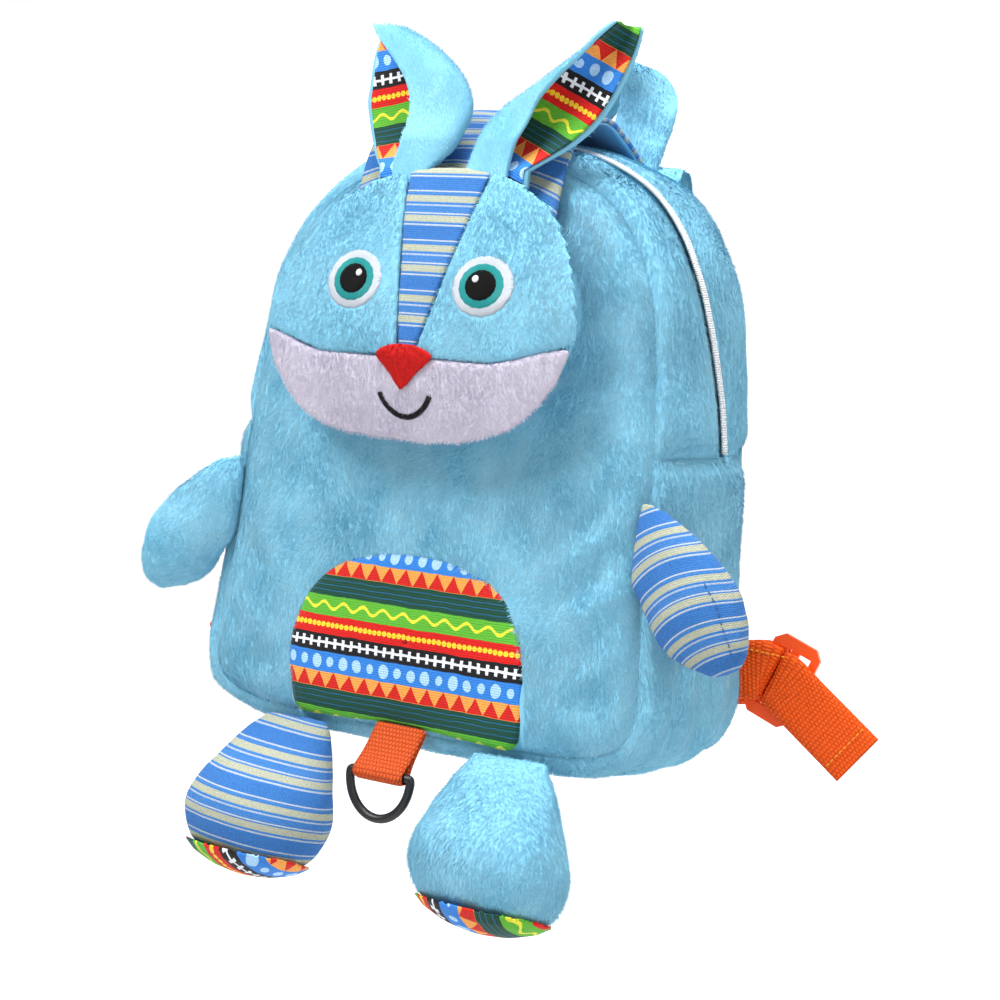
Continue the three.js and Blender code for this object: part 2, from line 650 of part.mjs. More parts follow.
function mouth() {
  const count = 10;
  const line = Array.from({ length: count + 1 }, (_, i) => {
    const s = (i / count) * 2 - 1;
    return point(0.8 + (s * MOUTH_WIDTH) / 2, 0, HEAD_CHIN_Z + MOUTH_RISE - MOUTH_DROP * (1 - s * s) ** 0.75);
  });
  const half = MOUTH_LINE / 2;
  const rings = line.map((p, i) => {
    const ahead = line[Math.min(i + 1, count)].clone().sub(line[Math.max(i - 1, 0)]).normalize();
    const side = point(-ahead.z, 0, ahead.x).multiplyScalar(half);
    return [[1, 0], [-1, 0], [-1, 1], [1, 1]].map(([s, raised]) => {
      const q = p.clone().addScaledVector(side, s);
      return point(q.x, faceY(q.x, q.z) - GAP * 1.5 - raised * STITCH_THICK, q.z);
    });
  });
  return throughRings(rings);
}

function headEnvelope(clear) {
  const grown = (e) => point(e.x * (1 + clear / HEAD_HALF_WIDTH), 0,
    headMiddleZ + (e.z - headMiddleZ) * (1 + clear / (HEAD_HEIGHT / 2)));
  const face = HEAD_RINGS.map((s) => headEdge.map((e) => headPoint(grown(e), s, HEAD_FRONT_CROWN + clear)));
  const rear = [...HEAD_RINGS].reverse().slice(1).map((s) => headEdge.map((e) => headPoint(grown(e), s, -HEAD_BACK_CROWN - clear)));
  return throughRings([...face, ...rear]);
}

// Crown flap: a curved sheet whose rear edge follows the bag's back seam
const FLAP_FRONT_Y = HEAD_TOP_Y + 6;
const FLAP_FRONT_Z = HEAD_CHIN_Z + HEAD_HEIGHT - 3;
const FLAP_REAR_Y = BACK_Y - 2;
const FLAP_TOP_Z = Math.max(FRONT_HEIGHT, BACK_HEIGHT) + FLAP_RISE;
const flapCurve = new THREE.CatmullRomCurve3(FLAP_LINE.map(({ y, rise }) => point(
  0, lerp(FLAP_FRONT_Y, FLAP_REAR_Y, y),
  lerp(y < 0.5 ? FLAP_FRONT_Z : BACK_HEIGHT + FLAP_REAR_RISE, FLAP_TOP_Z, rise),
)), false, 'centripetal');

function backSeamDrop(x) {
  const w = Math.abs(x) / BACK_HALF_WIDTH;
  const rows = OUTLINE.filter(({ h }) => h > 0.6).map((row) => ({ ...row })).reverse();
  return BACK_HEIGHT * (1 - read(rows, 'w', 'h', w));
}

function flapPoint(s, x, below) {
  const p = flapCurve.getPointAt(s);
  const q = flapCurve.getPointAt(Math.min(1, s + 0.01));
  const o = flapCurve.getPointAt(Math.max(0, s - 0.01));
  const run = q.sub(o).normalize();
  const drop = backSeamDrop(x) * THREE.MathUtils.smoothstep(s, 0.5, 1) + 0.0016 * x * x * Math.sin(Math.PI * s);
  const place = point(x, p.y, p.z - drop);
  return place.add(point(0, run.z, -run.y).multiplyScalar(below));
}

function flapSheet(top, bottom, halfWidth) {
  const rings = Array.from({ length: 15 }, (_, i) => {
    const s = i / 14;
    const columns = [-1, -0.6, -0.2, 0.2, 0.6, 1].map((c) => c * halfWidth);
    return [...columns.map((x) => flapPoint(s, x, top)), ...columns.reverse().map((x) => flapPoint(s, x, bottom))];
  });
  return throughRings(rings, { sheet: true });
}

const headClear = headEnvelope(2 * GAP);

function crownFlap() {
  return without(flapSheet(0, CLOTH, FLAP_HALF_WIDTH), bagClear, headClear);
}

function crownLining() {
  return without(flapSheet(CLOTH + GAP, CLOTH + GAP + THIN_CLOTH, FLAP_HALF_WIDTH - 1.5), bagClear, headClear);
}

const flapClear = flapSheet(-GAP, CLOTH + THIN_CLOTH + 3 * GAP, FLAP_HALF_WIDTH + GAP);

// Ears: a leaf folded lengthwise, its free edges forward (near) and back (far), printed inside
function earSection(row, side, inside) {
  const z = HEAD_CHIN_Z + HEAD_HEIGHT - EAR_ROOT_DROP + row.h * EAR_HEIGHT;
  const [atFold, atNear, atFar] = [row.fold, row.near, row.far].map((share) => share * EAR_SPREAD);
  const forward = EAR_ROOT_FORWARD * Math.max(0, 1 - row.h / 0.4) ** 1.5;
  const y = EAR_Y - forward;
  const near = point(atNear, y - EAR_OPENING, z);
  const far = point(atFar, y + EAR_OPENING * 0.6, z);
  const fold = point(atFold, y, z);
  const shift = -side * 1.5;
  const curve = new THREE.CatmullRomCurve3([
    near, point(lerp(atNear, atFold, 0.75), y - EAR_OPENING * 0.72, z), fold,
    point(lerp(atFar, atFold, 0.75) + shift, y + EAR_OPENING * 0.5, z), far,
  ], false, 'centripetal');
  const samples = Array.from({ length: 9 }, (_, i) => i / 8);
  if (inside) samples[0] = 0.05;
  if (inside) samples[8] = 0.95;
  return samples.map((t) => {
    const tangent = curve.getTangent(t);
    return { at: curve.getPoint(t), out: point(tangent.y, -tangent.x, 0).multiplyScalar(side).normalize() };
  });
}

function earSheet(rows, side, inner, outer, inside = false) {
  const rings = rows.map((row) => {
    const section = earSection(row, side, inside);
    return [
      ...section.map(({ at, out }) => at.clone().addScaledVector(out, outer)),
      ...section.reverse().map(({ at, out }) => at.clone().addScaledVector(out, inner)),
    ];
  });
  return throughRings(rings, { sheet: true });
}

function earPlush(rows, side) {
  return without(earSheet(rows, side, 0, EAR_PLUSH), flapClear, headClear);
}

function earPrint(rows, side) {
  const sheet = earSheet(rows, side, -GAP - THIN_CLOTH, -GAP, true);
  return without(sheet, earSheet(rows, side, -GAP, EAR_PLUSH), flapClear, headClear);
}

// A stuffed limb's ring: an ellipse in the plane of two half axes
function ellipse(centre, a, b, count = 16) {
  return Array.from({ length: count }, (_, i) => {
    const angle = (i / count) * Math.PI * 2;
    return centre.clone().addScaledVector(a, Math.cos(angle)).addScaledVector(b, Math.sin(angle));
  });
}

function arm(side) {
  const rings = ARM_SECTIONS.map(({ s, w, t, hang }) => {
    const upright = Math.tan(rad(ARM_ANGLE)) * Math.max(0, 1 - s / ARM_UPRIGHT_SHARE);
    return ellipse(
      point(s * ARM_LENGTH, 0, -side * hang * ARM_LENGTH),
      point(-side * w * ARM_HALF_WIDTH * upright, 0, w * ARM_HALF_WIDTH), point(0, t * ARM_HALF_THICK, 0),
    );
  });
  return throughRings(rings, { lastPole: point(ARM_LENGTH * 0.98, 0, -side * 0.04 * ARM_LENGTH) });
}

// An arm lies in the X-Z plane; it is turned down and out, and its root is cut to the bag's side
function placedArm(side) {
  const geometry = arm(side);
  const turn = new THREE.Matrix4().makeRotationY(side > 0 ? rad(ARM_ANGLE) : rad(180 - ARM_ANGLE));
  const root = point(side * (frontHalfWidthAt(ARM_ROOT_Z) - 1), seamFrontY(ARM_ROOT_Z) - 2.5, ARM_ROOT_Z + 2);
  geometry.applyMatrix4(turn);
  geometry.translate(root.x, root.y, root.z);
  return without(geometry, bagClear);
}

function legFrame(side) {
  const root = point(side * LEG_ROOT_X, FRONT_Y - 2, 1.5);
  const foot = point(side * LEG_FOOT_X, FRONT_Y - LEG_FOOT_FORWARD, 1.5 - Math.sqrt(LEG_LENGTH ** 2 - LEG_FOOT_FORWARD ** 2));
  const tilt = (share) => rad(SOLE_TILT) * share;
  const ringAt = (s, w, d) => {
    const centre = root.clone().lerp(foot, s);
    centre.y -= 5 * Math.sin(Math.PI * s);
    const deep = point(0, Math.cos(tilt(s)), -Math.sin(tilt(s)));
    return ellipse(centre, point(w * LEG_HALF_WIDTH, 0, 0), deep.multiplyScalar(d * LEG_HALF_DEPTH), 18);
  };
  const down = point(0, -Math.sin(tilt(1)), -Math.cos(tilt(1)));
  return { ringAt, down };
}

function domeRings(ringAt, down, lift) {
  const { w, d } = LEG_SECTIONS[LEG_SECTIONS.length - 1];
  return [0.97, 0.8, 0.45].map((share) => {
    const drop = SOLE_DOME * Math.sqrt(1 - share ** 2) + lift;
    return ringAt(1, w * share, d * share).map((p) => p.addScaledVector(down, drop));
  });
}

function leg(side) {
  const { ringAt, down } = legFrame(side);
  const rings = [...LEG_SECTIONS.map(({ s, w, d }) => ringAt(s, w, d)), ...domeRings(ringAt, down, 0)];
  const lastPole = centreOf(ringAt(1, 1, 1)).addScaledVector(down, SOLE_DOME);
  return without(throughRings(rings, { lastPole }), bagClear);
}

function sole(side) {
  const { ringAt, down } = legFrame(side);
  const pole = (lift) => centreOf(ringAt(1, 1, 1)).addScaledVector(down, SOLE_DOME + lift);
  const inner = GAP * 1.5;
  const outer = inner + THIN_CLOTH;
  const rings = [...domeRings(ringAt, down, inner).reverse(), ...domeRings(ringAt, down, outer)];
  return throughRings(rings, { firstPole: pole(inner), lastPole: pole(outer) });
}

// A flat band along a curve: rows give its middle line and the way its width points
function band(rows, width, thick, steps, round = false) {
  const line = new THREE.CatmullRomCurve3(rows.map(({ at }) => point(...at)), false, 'centripetal');
  const ways = new THREE.CatmullRomCurve3(rows.map(({ way }) => point(...way)), false, 'centripetal');
  const corners = round
    ? [[1, 0.45], [0.82, 1], [-0.82, 1], [-1, 0.45], [-1, -0.45], [-0.82, -1], [0.82, -1], [1, -0.45]]
    : [[1, 1], [-1, 1], [-1, -1], [1, -1]];
  const rings = Array.from({ length: steps + 1 }, (_, i) => {
    const t = i / steps;
    const tangent = line.getTangent(t);
    const across = ways.getPoint(t);
    across.addScaledVector(tangent, -across.dot(tangent)).normalize();
    const normal = point(0, 0, 0).crossVectors(tangent, across).normalize();
    return corners.map(([a, n]) => line.getPoint(t)
      .addScaledVector(across, (a * width) / 2).addScaledVector(normal, (n * thick) / 2));
  });
  return throughRings(rings);
}

const backLift = BACK_Y + HANDLE_THICK / 2 + 1;

// The grab handle leans to the right; its ends lie flat against the top of the back panel
const handleAt = (across, back, up) => [across * HANDLE_REACH, backLift + back, BACK_HEIGHT + up * HANDLE_RISE];
const HANDLE_ROWS = [
  { at: handleAt(-0.68, 0.5, -0.18), way: [0.75, 0, -0.5] },
  { at: handleAt(-0.32, 3, 0.16), way: [0.65, 0.2, -0.65] },
  { at: handleAt(0.18, 5, 0.51), way: [0.5, 0.7, -0.4] },
  { at: handleAt(0.55, 6, 0.82), way: [0.35, 0.9, -0.2] },
  { at: handleAt(0.82, 6, 0.96), way: [0.3, 0.95, 0] },
  { at: handleAt(0.98, 6, 0.8), way: [0.55, 0.8, 0] },
  { at: handleAt(1, 4, 0.55), way: [0.9, 0.35, 0] },
  { at: handleAt(0.95, 2, 0.24), way: [1, 0.1, 0] },
  { at: handleAt(0.86, 0, -0.2), way: [1, 0, 0.1] },
];

function handle() {
  return without(band(HANDLE_ROWS, HANDLE_WIDTH, HANDLE_THICK, 26), bagClear, flapClear);
}

// Under the middle of the handle's top, where a hook or a hand takes it
const HANG_POINT = point(...HANDLE_ROWS[4].at).add(point(0, 0, -HANDLE_THICK / 2));

// Front loop: webbing down from the bottom seam, round the D-ring's bar and back up
function frontLoop() {
  const inside = RING_WIRE / 2 + GAP + WEBBING / 2;
  const seam = point(0, FRONT_Y - 2 - RING_Y, LOOP_ROOT_Z - RING_Z);
  const reach = seam.length();
  const up = seam.normalize();
  const normal = point(0, -up.z, up.y);
  const bar = point(0, RING_Y, RING_Z);
  const turn = Array.from({ length: 7 }, (_, i) => {
    const angle = rad(lerp(-10, 190, i / 6));
    return bar.clone().addScaledVector(normal, inside * Math.cos(angle)).addScaledVector(up, -inside * Math.sin(angle));
  });
  const close = WEBBING / 2 + GAP;
  const front = bar.clone().addScaledVector(up, reach).addScaledVector(normal, close);
  const rear = bar.clone().addScaledVector(up, reach).addScaledVector(normal, -close);
  const front2 = bar.clone().addScaledVector(up, 9).addScaledVector(normal, close + 0.4);
  const rear2 = bar.clone().addScaledVector(up, 9).addScaledVector(normal, -close - 0.4);
  const rows = [front, front2, ...turn, rear2, rear].map((p) => ({ at: p.toArray(), way: [1, 0, 0] }));
  return without(band(rows, LOOP_WIDTH, WEBBING, 24), bagClear);
}

// D-ring: a straight bar on the joint's axis and a round bow below it
function ringSolid() {
  const radius = RING_WIRE / 2;
  const half = RING_INSIDE / 2 + RING_WIRE / 2;
  const corner = 1.6;
  const path = [];
  [-0.75, -0.25, 0.25, 0.75].forEach((s) => path.push(point(s * (half - corner), 0, 0)));
  path.push(point(half - corner * 0.3, 0, -corner * 0.3));
  const count = 12;
  for (let i = 0; i <= count; i += 1) {
    const angle = (i / count) * Math.PI;
    path.push(point(Math.cos(angle) * half, 0, -corner - Math.sin(angle) * (RING_DROP - corner)));
  }
  path.push(point(-half + corner * 0.3, 0, -corner * 0.3));
  const rings = path.map((p, i) => {
    const next = path[(i + 1) % path.length];
    const last = path[(i + path.length - 1) % path.length];
    const tangent = next.clone().sub(last).normalize();
    const side = point(-tangent.z, 0, tangent.x);
    return ellipse(p, side.multiplyScalar(radius), point(0, radius, 0), 8);
  });
  const geometry = throughRings(rings, { loop: true });
  geometry.translate(0, RING_Y, RING_Z);
  return geometry;
}

// Shoulder straps: padded band down the back, webbing loop with a slider, adjusting webbing with a free tail
const padY = BACK_Y + BACK_CROWN + PAD_THICK / 2 + 2;

const alongPad = (share) => lerp(PAD_ROOT_X, PAD_END_X, share);

function shoulderPad(side) {
  const rows = [
    { at: [PAD_ROOT_X, BACK_Y + 3, BACK_HEIGHT - 6], way: [1, 0, -0.25] },
    { at: [alongPad(0.07), BACK_Y + 11, BACK_HEIGHT - 2], way: [1, 0, -0.25] },
    { at: [alongPad(0.17), padY + 6, BACK_HEIGHT - 22], way: [1, 0, -0.1] },
    { at: [alongPad(0.34), padY + 8, BACK_HEIGHT * 0.72], way: [1, 0, 0.1] },
    { at: [alongPad(0.55), padY + 6, BACK_HEIGHT * 0.5], way: [1, 0, 0.1] },
    { at: [alongPad(0.72), padY + 4, BACK_HEIGHT * 0.33], way: [1, 0, 0.15] },
    { at: [PAD_END_X, PAD_END_Y, BACK_HEIGHT * 0.2], way: [1, 0, 0.4] },
  ].map(({ at: [x, y, z], way: [a, b, c] }) => ({ at: [side * x, y, z], way: [side * a, b, c] }));
  return without(band(rows, PAD_WIDTH, PAD_THICK, 16, true), bagClear, handleClear);
}

const handleClear = band(HANDLE_ROWS, HANDLE_WIDTH + 2 * GAP, HANDLE_THICK + 2 * GAP, 26);

// The slider's own frame: along the strap, across it and out of its plate, towards the front
const sliderAxes = (side) => {
  const turn = rad(SLIDER_TURN);
  return {
    along: point(side * Math.cos(turn), 0, -Math.sin(turn)),
    across: point(side * Math.sin(turn), 0, Math.cos(turn)),
    centre: point(side * SLIDER_X, SLIDER_Y, SLIDER_Z),
  };
};

function inSlider(side, a, c, n) {
  const { along, across, centre } = sliderAxes(side);
  return centre.clone().addScaledVector(along, a).addScaledVector(across, c).add(point(0, -n, 0));
}

function slider(side) {
  const halfLength = SLIDER_LENGTH / 2;
  const halfWidth = SLIDER_WIDTH / 2;
  const slotHalf = STRAP_WIDTH / 2 + 1;
  const outline = [
    [-halfWidth, -halfLength + 4], [-halfWidth + 4, -halfLength], [halfWidth - 4, -halfLength],
    [halfWidth, -halfLength + 4], [halfWidth, halfLength - 4], [halfWidth - 4, halfLength],
    [-halfWidth + 4, halfLength], [-halfWidth, halfLength - 4],
  ];
  const plate = prism(outline, -SLIDER_THICK / 2, SLIDER_THICK / 2);
  const slots = sliderSlots().map(([from, to]) => prism(
    [[from, -slotHalf], [to, -slotHalf], [to, slotHalf], [from, slotHalf]], -SLIDER_THICK, SLIDER_THICK));
  const geometry = without(plate, ...slots);
  const { along, across, centre } = sliderAxes(side);
  const place = new THREE.Matrix4().makeBasis(along, point(0, 1, 0), across).setPosition(centre);
  geometry.applyMatrix4(place);
  return closedMesh(verticesOf(geometry), facesOf(geometry));
}

function sliderSlots() {
  const first = -SLIDER_WIDTH / 2 + SLIDER_BAR;
  const second = first + SLIDER_SLOT + SLIDER_BAR;
  return [[first, first + SLIDER_SLOT], [second, second + SLIDER_SLOT]];
}

function verticesOf(geometry) {
  const { array } = geometry.attributes.position;
  return Array.from({ length: array.length / 3 }, (_, i) => point(...array.slice(3 * i, 3 * i + 3)));
}

function facesOf(geometry) {
  const { array } = geometry.index;
  return Array.from({ length: array.length / 3 }, (_, i) => [...array.slice(3 * i, 3 * i + 3)]);
}

// Webbing loop: a doubled band sewn under the pad, round the slider's near bar
function strapLoop(side) {
  const bar = -SLIDER_WIDTH / 2 + SLIDER_BAR / 2;
  const over = SLIDER_THICK / 2 + GAP + WEBBING / 2;
  const turnX = bar + SLIDER_BAR / 2 + 4.6 * GAP + WEBBING / 2;
  const level = [0, 0, 1];
  const tilt = sliderAxes(side).across.toArray();
  const ply = WEBBING + GAP;
  const behindPad = PAD_END_Y + PAD_THICK / 2 + GAP + WEBBING / 2;
  const root = (n) => [side * (PAD_END_X + 1), behindPad + n, SLIDER_Z + 5];
  const past = (n) => [side * (PAD_END_X + PAD_WIDTH / 2 + 3), behindPad + n, SLIDER_Z + 3];
  const middle = (n) => [side * (SLIDER_X - 24), SLIDER_Y - n, SLIDER_Z + 1.5];
  const rows = [
    { at: root(0), way: level },
    { at: past(0), way: level },
    { at: middle(over), way: level },
    { at: inSlider(side, bar + 1, 0, over + 0.8).toArray(), way: tilt },
    { at: inSlider(side, turnX, 0, over * 0.4).toArray(), way: tilt },
    { at: inSlider(side, turnX - 0.2, 0, -over * 0.4).toArray(), way: tilt },
    { at: inSlider(side, bar + 1, 0, -over - 0.7).toArray(), way: tilt },
    { at: middle(-over), way: level },
    { at: past(ply), way: level },
    { at: root(ply), way: level },
  ];
  return band(rows, STRAP_WIDTH, WEBBING, 30);
}

// Adjusting webbing: from the bottom corner of the back, up behind the slider, over its middle bar to the tail
function adjustingWebbing(side) {
  const [[, firstEnd], [secondStart]] = sliderSlots();
  const midBar = (firstEnd + secondStart) / 2;
  const over = SLIDER_THICK / 2 + GAP + WEBBING / 2;
  const under = over + WEBBING + 2 * GAP + 1.4;
  const rise = firstEnd - 3 * GAP - WEBBING / 2;
  const tilt = sliderAxes(side).across.toArray();
  const footWay = [side * -0.24, 0, 1];
  const tailWay = [side * Math.sin(rad(TAIL_TURN)), 0, Math.cos(rad(TAIL_TURN))];
  const tail = (run) => {
    const start = inSlider(side, midBar, 0, over + 0.9);
    return [start.x + side * run * Math.cos(rad(TAIL_TURN)), start.y, start.z - run * Math.sin(rad(TAIL_TURN))];
  };
  const rows = [
    { at: [side * WEBBING_FOOT_X, BACK_Y + BACK_CROWN, WEBBING_FOOT_Z], way: footWay },
    { at: [side * (WEBBING_FOOT_X + 13), BACK_Y + BACK_CROWN + 1.5, WEBBING_FOOT_Z + 3], way: footWay },
    { at: [side * (WEBBING_FOOT_X + 32), SLIDER_Y + under, WEBBING_FOOT_Z + 9], way: footWay },
    { at: [side * (SLIDER_X - 36), SLIDER_Y + under + 1.5, SLIDER_Z - 4], way: [side * -0.1, 0, 1] },
    { at: [side * (SLIDER_X - 18), SLIDER_Y + under, SLIDER_Z - 0.5], way: [0, 0, 1] },
    { at: inSlider(side, rise - 4.2, 0, -under - 1.3).toArray(), way: tilt },
    { at: inSlider(side, rise + 0.1, 0, -over - 1).toArray(), way: tilt },
    { at: inSlider(side, rise, 0, 0).toArray(), way: tilt },
    { at: inSlider(side, rise + 0.7, 0, over + 0.2).toArray(), way: tilt },
    { at: inSlider(side, midBar + 1, 0, over + 1.1).toArray(), way: tilt },
    { at: tail(14), way: tailWay },
    { at: tail(TAIL_LENGTH * 0.6), way: tailWay },
    { at: tail(TAIL_LENGTH), way: tailWay },
  ];
  return without(band(rows, STRAP_WIDTH, WEBBING, 36), bagClear);
}

// Colours
const finish = (color, roughness = 0.95, metalness = 0) => new THREE.MeshStandardMaterial({ color, roughness, metalness });
const plush = () => finish('#86c3dd');
const print = () => finish('#b03a2a');
const stripe = () => finish('#7babdd');
const orange = () => finish('#ea5215', 0.8);

const group = new THREE.Group();

function add(name, geometry, material) {
  const mesh = new THREE.Mesh(geometry, material);
  mesh.name = name;
  group.add(mesh);
}

add('front_panel', frontPanel(), plush());
add('back_panel', backPanel(), plush());
add('gusset_zip_front', frontZipGusset(), plush());
add('gusset_zip_rear', rearZipGusset(), plush());
add('gusset_lower', lowerGusset(), plush());
add('zipper', zipper(), finish('#e8e8ee', 0.6));
add('zip_slider', zipSlider(), finish('#e0e0e6', 0.5));
add('belly_patch', bellyPatch(), print());

add('head_back', backHead, plush());
const facePanels = headFacePanels();
add('head_cheek_left', facePanels.head_cheek_left, plush());
add('head_cheek_right', facePanels.head_cheek_right, plush());
add('head_forehead', facePanels.head_forehead, stripe());
add('head_muzzle', facePanels.head_muzzle, finish('#e8e6f0'));
add('eye_left', eye(-1), finish('#1c8f96', 0.6));
add('eye_right', eye(1), finish('#1c8f96', 0.6));
add('nose', nose(), finish('#d81f1c'));
add('mouth', mouth(), finish('#151515', 0.6));

add('crown_flap', crownFlap(), stripe());
add('crown_lining', crownLining(), finish('#5aa6d8'));
add('ear_left_plush', earPlush(EAR_LEFT, 1), plush());
add('ear_left_print', earPrint(EAR_LEFT, 1), print());
add('ear_right_plush', earPlush(EAR_RIGHT, -1), plush());
add('ear_right_print', earPrint(EAR_RIGHT, -1), print());

add('arm_left', placedArm(-1), plush());
add('arm_right', placedArm(1), stripe());
add('leg_left', leg(-1), stripe());
add('leg_right', leg(1), plush());
add('sole_left', sole(-1), print());
add('sole_right', sole(1), print());

add('handle', handle(), plush());
add('front_loop', frontLoop(), orange());
add('d_ring', ringSolid(), finish('#1a1818', 0.35, 0.6));
const leftWebbing = adjustingWebbing(-1);
[-1, 1].forEach((side) => {
  const name = side > 0 ? 'right' : 'left';
  add(`shoulder_pad_${name}`, shoulderPad(side), plush());
  add(`strap_loop_${name}`, strapLoop(side), orange());
  add(`strap_slider_${name}`, slider(side), finish('#fa4604', 0.4));
  add(`strap_webbing_${name}`, side > 0 ? otherSide(leftWebbing) : leftWebbing, orange());
});

group.position.copy(HANG_POINT).negate();

export default group;
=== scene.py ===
import math
import bmesh
import bpy
import numpy as np
from mathutils import Matrix, Vector
from mathutils.bvhtree import BVHTree


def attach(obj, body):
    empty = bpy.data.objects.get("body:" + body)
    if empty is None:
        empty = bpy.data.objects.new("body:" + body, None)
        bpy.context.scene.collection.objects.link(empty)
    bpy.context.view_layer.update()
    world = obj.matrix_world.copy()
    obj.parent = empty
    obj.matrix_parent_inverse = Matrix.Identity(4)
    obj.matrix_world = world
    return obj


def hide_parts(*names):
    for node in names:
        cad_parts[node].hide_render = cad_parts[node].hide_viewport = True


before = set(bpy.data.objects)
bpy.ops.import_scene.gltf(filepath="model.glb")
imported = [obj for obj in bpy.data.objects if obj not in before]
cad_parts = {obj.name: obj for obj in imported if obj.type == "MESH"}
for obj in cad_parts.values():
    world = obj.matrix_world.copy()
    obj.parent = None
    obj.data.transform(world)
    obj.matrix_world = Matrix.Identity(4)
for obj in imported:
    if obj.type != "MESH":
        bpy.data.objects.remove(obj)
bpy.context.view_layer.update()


# The photographer's table. The bag is held up by its grab handle in front of a pale paper sweep, in the light of
# large soft lamps. The camera stands in front of the bag's right shoulder and is rolled a few degrees.
HANG_POINT = np.array([36.08, 53.0, 318.04])
CAMERA_PLACE = (367.654, -702.028, 138.044)
CAMERA_TURN, CAMERA_RISE, CAMERA_ROLL = np.radians([26.829, 2.142, 5.873])
CAMERA_SENSOR, CAMERA_LENS = 36, 61.162
LAMP_AIM = (-0.03, -0.05, -0.2)
# The paper's glow is painted light, an emission of its own rather than a lamp
PAPER_GLOW, GLOW_STARTS, GLOW_FULL = 0.6, 0.3, 1.0  # the paper brightens towards the back, over these metres


def in_frame(points):
    """From millimetres, measured from the middle of the bag's front bottom seam, to the frame's metres."""
    return (np.asarray(points, float) - HANG_POINT) / 1000


def colour(code):
    """sRGB hex to linear."""
    parts = [int(code[i:i + 2], 16) / 255 for i in (1, 3, 5)]
    return [p / 12.92 if p < 0.04045 else ((p + 0.055) / 1.055) ** 2.4 for p in parts] + [1]


def put(tree, kind, *inputs, **settings):
    """Adds a node, sets its properties and its sockets in order, and gives back its first output."""
    node = tree.nodes.new(kind)
    for key, value in settings.items():
        setattr(node, key, value)
    for socket, value in zip(node.inputs, inputs):
        if isinstance(value, bpy.types.NodeSocket):
            tree.links.new(value, socket)
        elif value is not None:
            socket.default_value = value
    return node.outputs[0]


def new_material(name, **sockets):
    """A material with a principled shader; sockets are its constants."""
    material = bpy.data.materials.new(name)
    material.use_nodes = True
    shader = material.node_tree.nodes["Principled BSDF"]
    for key, value in sockets.items():
        shader.inputs[key.replace("_", " ")].default_value = value
    return material, material.node_tree, shader


level_way = np.array([math.sin(CAMERA_TURN), -math.cos(CAMERA_TURN), 0.0])
back = level_way * math.cos(CAMERA_RISE) + (0, 0, math.sin(CAMERA_RISE))
right = np.array([math.cos(CAMERA_TURN), math.sin(CAMERA_TURN), 0.0])
up = np.cross(back, right)
camera = bpy.data.objects.new("camera", bpy.data.cameras.new("camera"))
bpy.context.scene.collection.objects.link(camera)
columns = np.eye(4)
columns[:3, 0] = right * math.cos(CAMERA_ROLL) + up * math.sin(CAMERA_ROLL)
columns[:3, 1] = up * math.cos(CAMERA_ROLL) - right * math.sin(CAMERA_ROLL)
columns[:3, 2] = back
columns[:3, 3] = in_frame(CAMERA_PLACE)
camera.matrix_world = Matrix(columns.tolist())
camera.data.sensor_width = CAMERA_SENSOR
camera.data.lens = CAMERA_LENS
bpy.context.scene.camera = camera

LAMPS = [
    # name, place in metres, size, watts
    ("window_lamp", (-0.7, -1.3, 1.15), 0.8, 41),
    ("fill_lamp", (1.6, -0.9, 0.3), 1.2, 10),
    ("top_lamp", (0.2, -0.35, 1.35), 0.6, 28),
]
for lamp_name, lamp_place, lamp_size, watts in LAMPS:
    lamp = bpy.data.objects.new(lamp_name, bpy.data.lights.new(lamp_name, "AREA"))
    lamp.data.size = lamp_size
    lamp.data.energy = watts
    lamp.location = lamp_place
    lamp.rotation_euler = (Vector(LAMP_AIM) - Vector(lamp_place)).to_track_quat("-Z", "Y").to_euler()
    bpy.context.scene.collection.objects.link(lamp)

world = bpy.data.worlds.new("white_room")
world.use_nodes = True
world.node_tree.nodes["Background"].inputs["Color"].default_value = (1, 1, 1, 1)
world.node_tree.nodes["Background"].inputs["Strength"].default_value = 0.26
bpy.context.scene.world = world
bpy.context.scene.view_settings.view_transform = "Standard"

SWEEP = [(-3.0, -0.75), (1.6, -0.75), (2.3, -0.6), (2.7, -0.2), (2.8, 0.4), (2.8, 3.0)]
sweep_mesh = bpy.data.meshes.new("paper_sweep")
sweep_mesh.from_pydata(
    [(x, y, z) for y, z in SWEEP for x in (-4, 4)], [],
    [(2 * i, 2 * i + 1, 2 * i + 3, 2 * i + 2) for i in range(len(SWEEP) - 1)])
sweep = bpy.data.objects.new("paper_sweep", sweep_mesh)
bpy.context.scene.collection.objects.link(sweep)
for polygon in sweep_mesh.polygons:
    polygon.use_smooth = True
# Matt white background paper with a painted glow: an emission that rises towards the back, in place of light from
# behind
paper, paper_tree, paper_shader = new_material("matt_white_paper_painted_glow", Base_Color=colour("#e6e6e6"), Roughness=0.9)
paper_shader.inputs["Emission Color"].default_value = (1, 1, 1, 1)
paper_place = put(paper_tree, "ShaderNodeNewGeometry")
paper_depth = put(paper_tree, "ShaderNodeSeparateXYZ", paper_place).node.outputs["Y"]
paper_glow = put(paper_tree, "ShaderNodeMapRange", paper_depth, GLOW_STARTS, GLOW_FULL, 0.0, PAPER_GLOW)
paper_tree.links.new(paper_glow, paper_shader.inputs["Emission Strength"])
sweep_mesh.materials.append(paper)


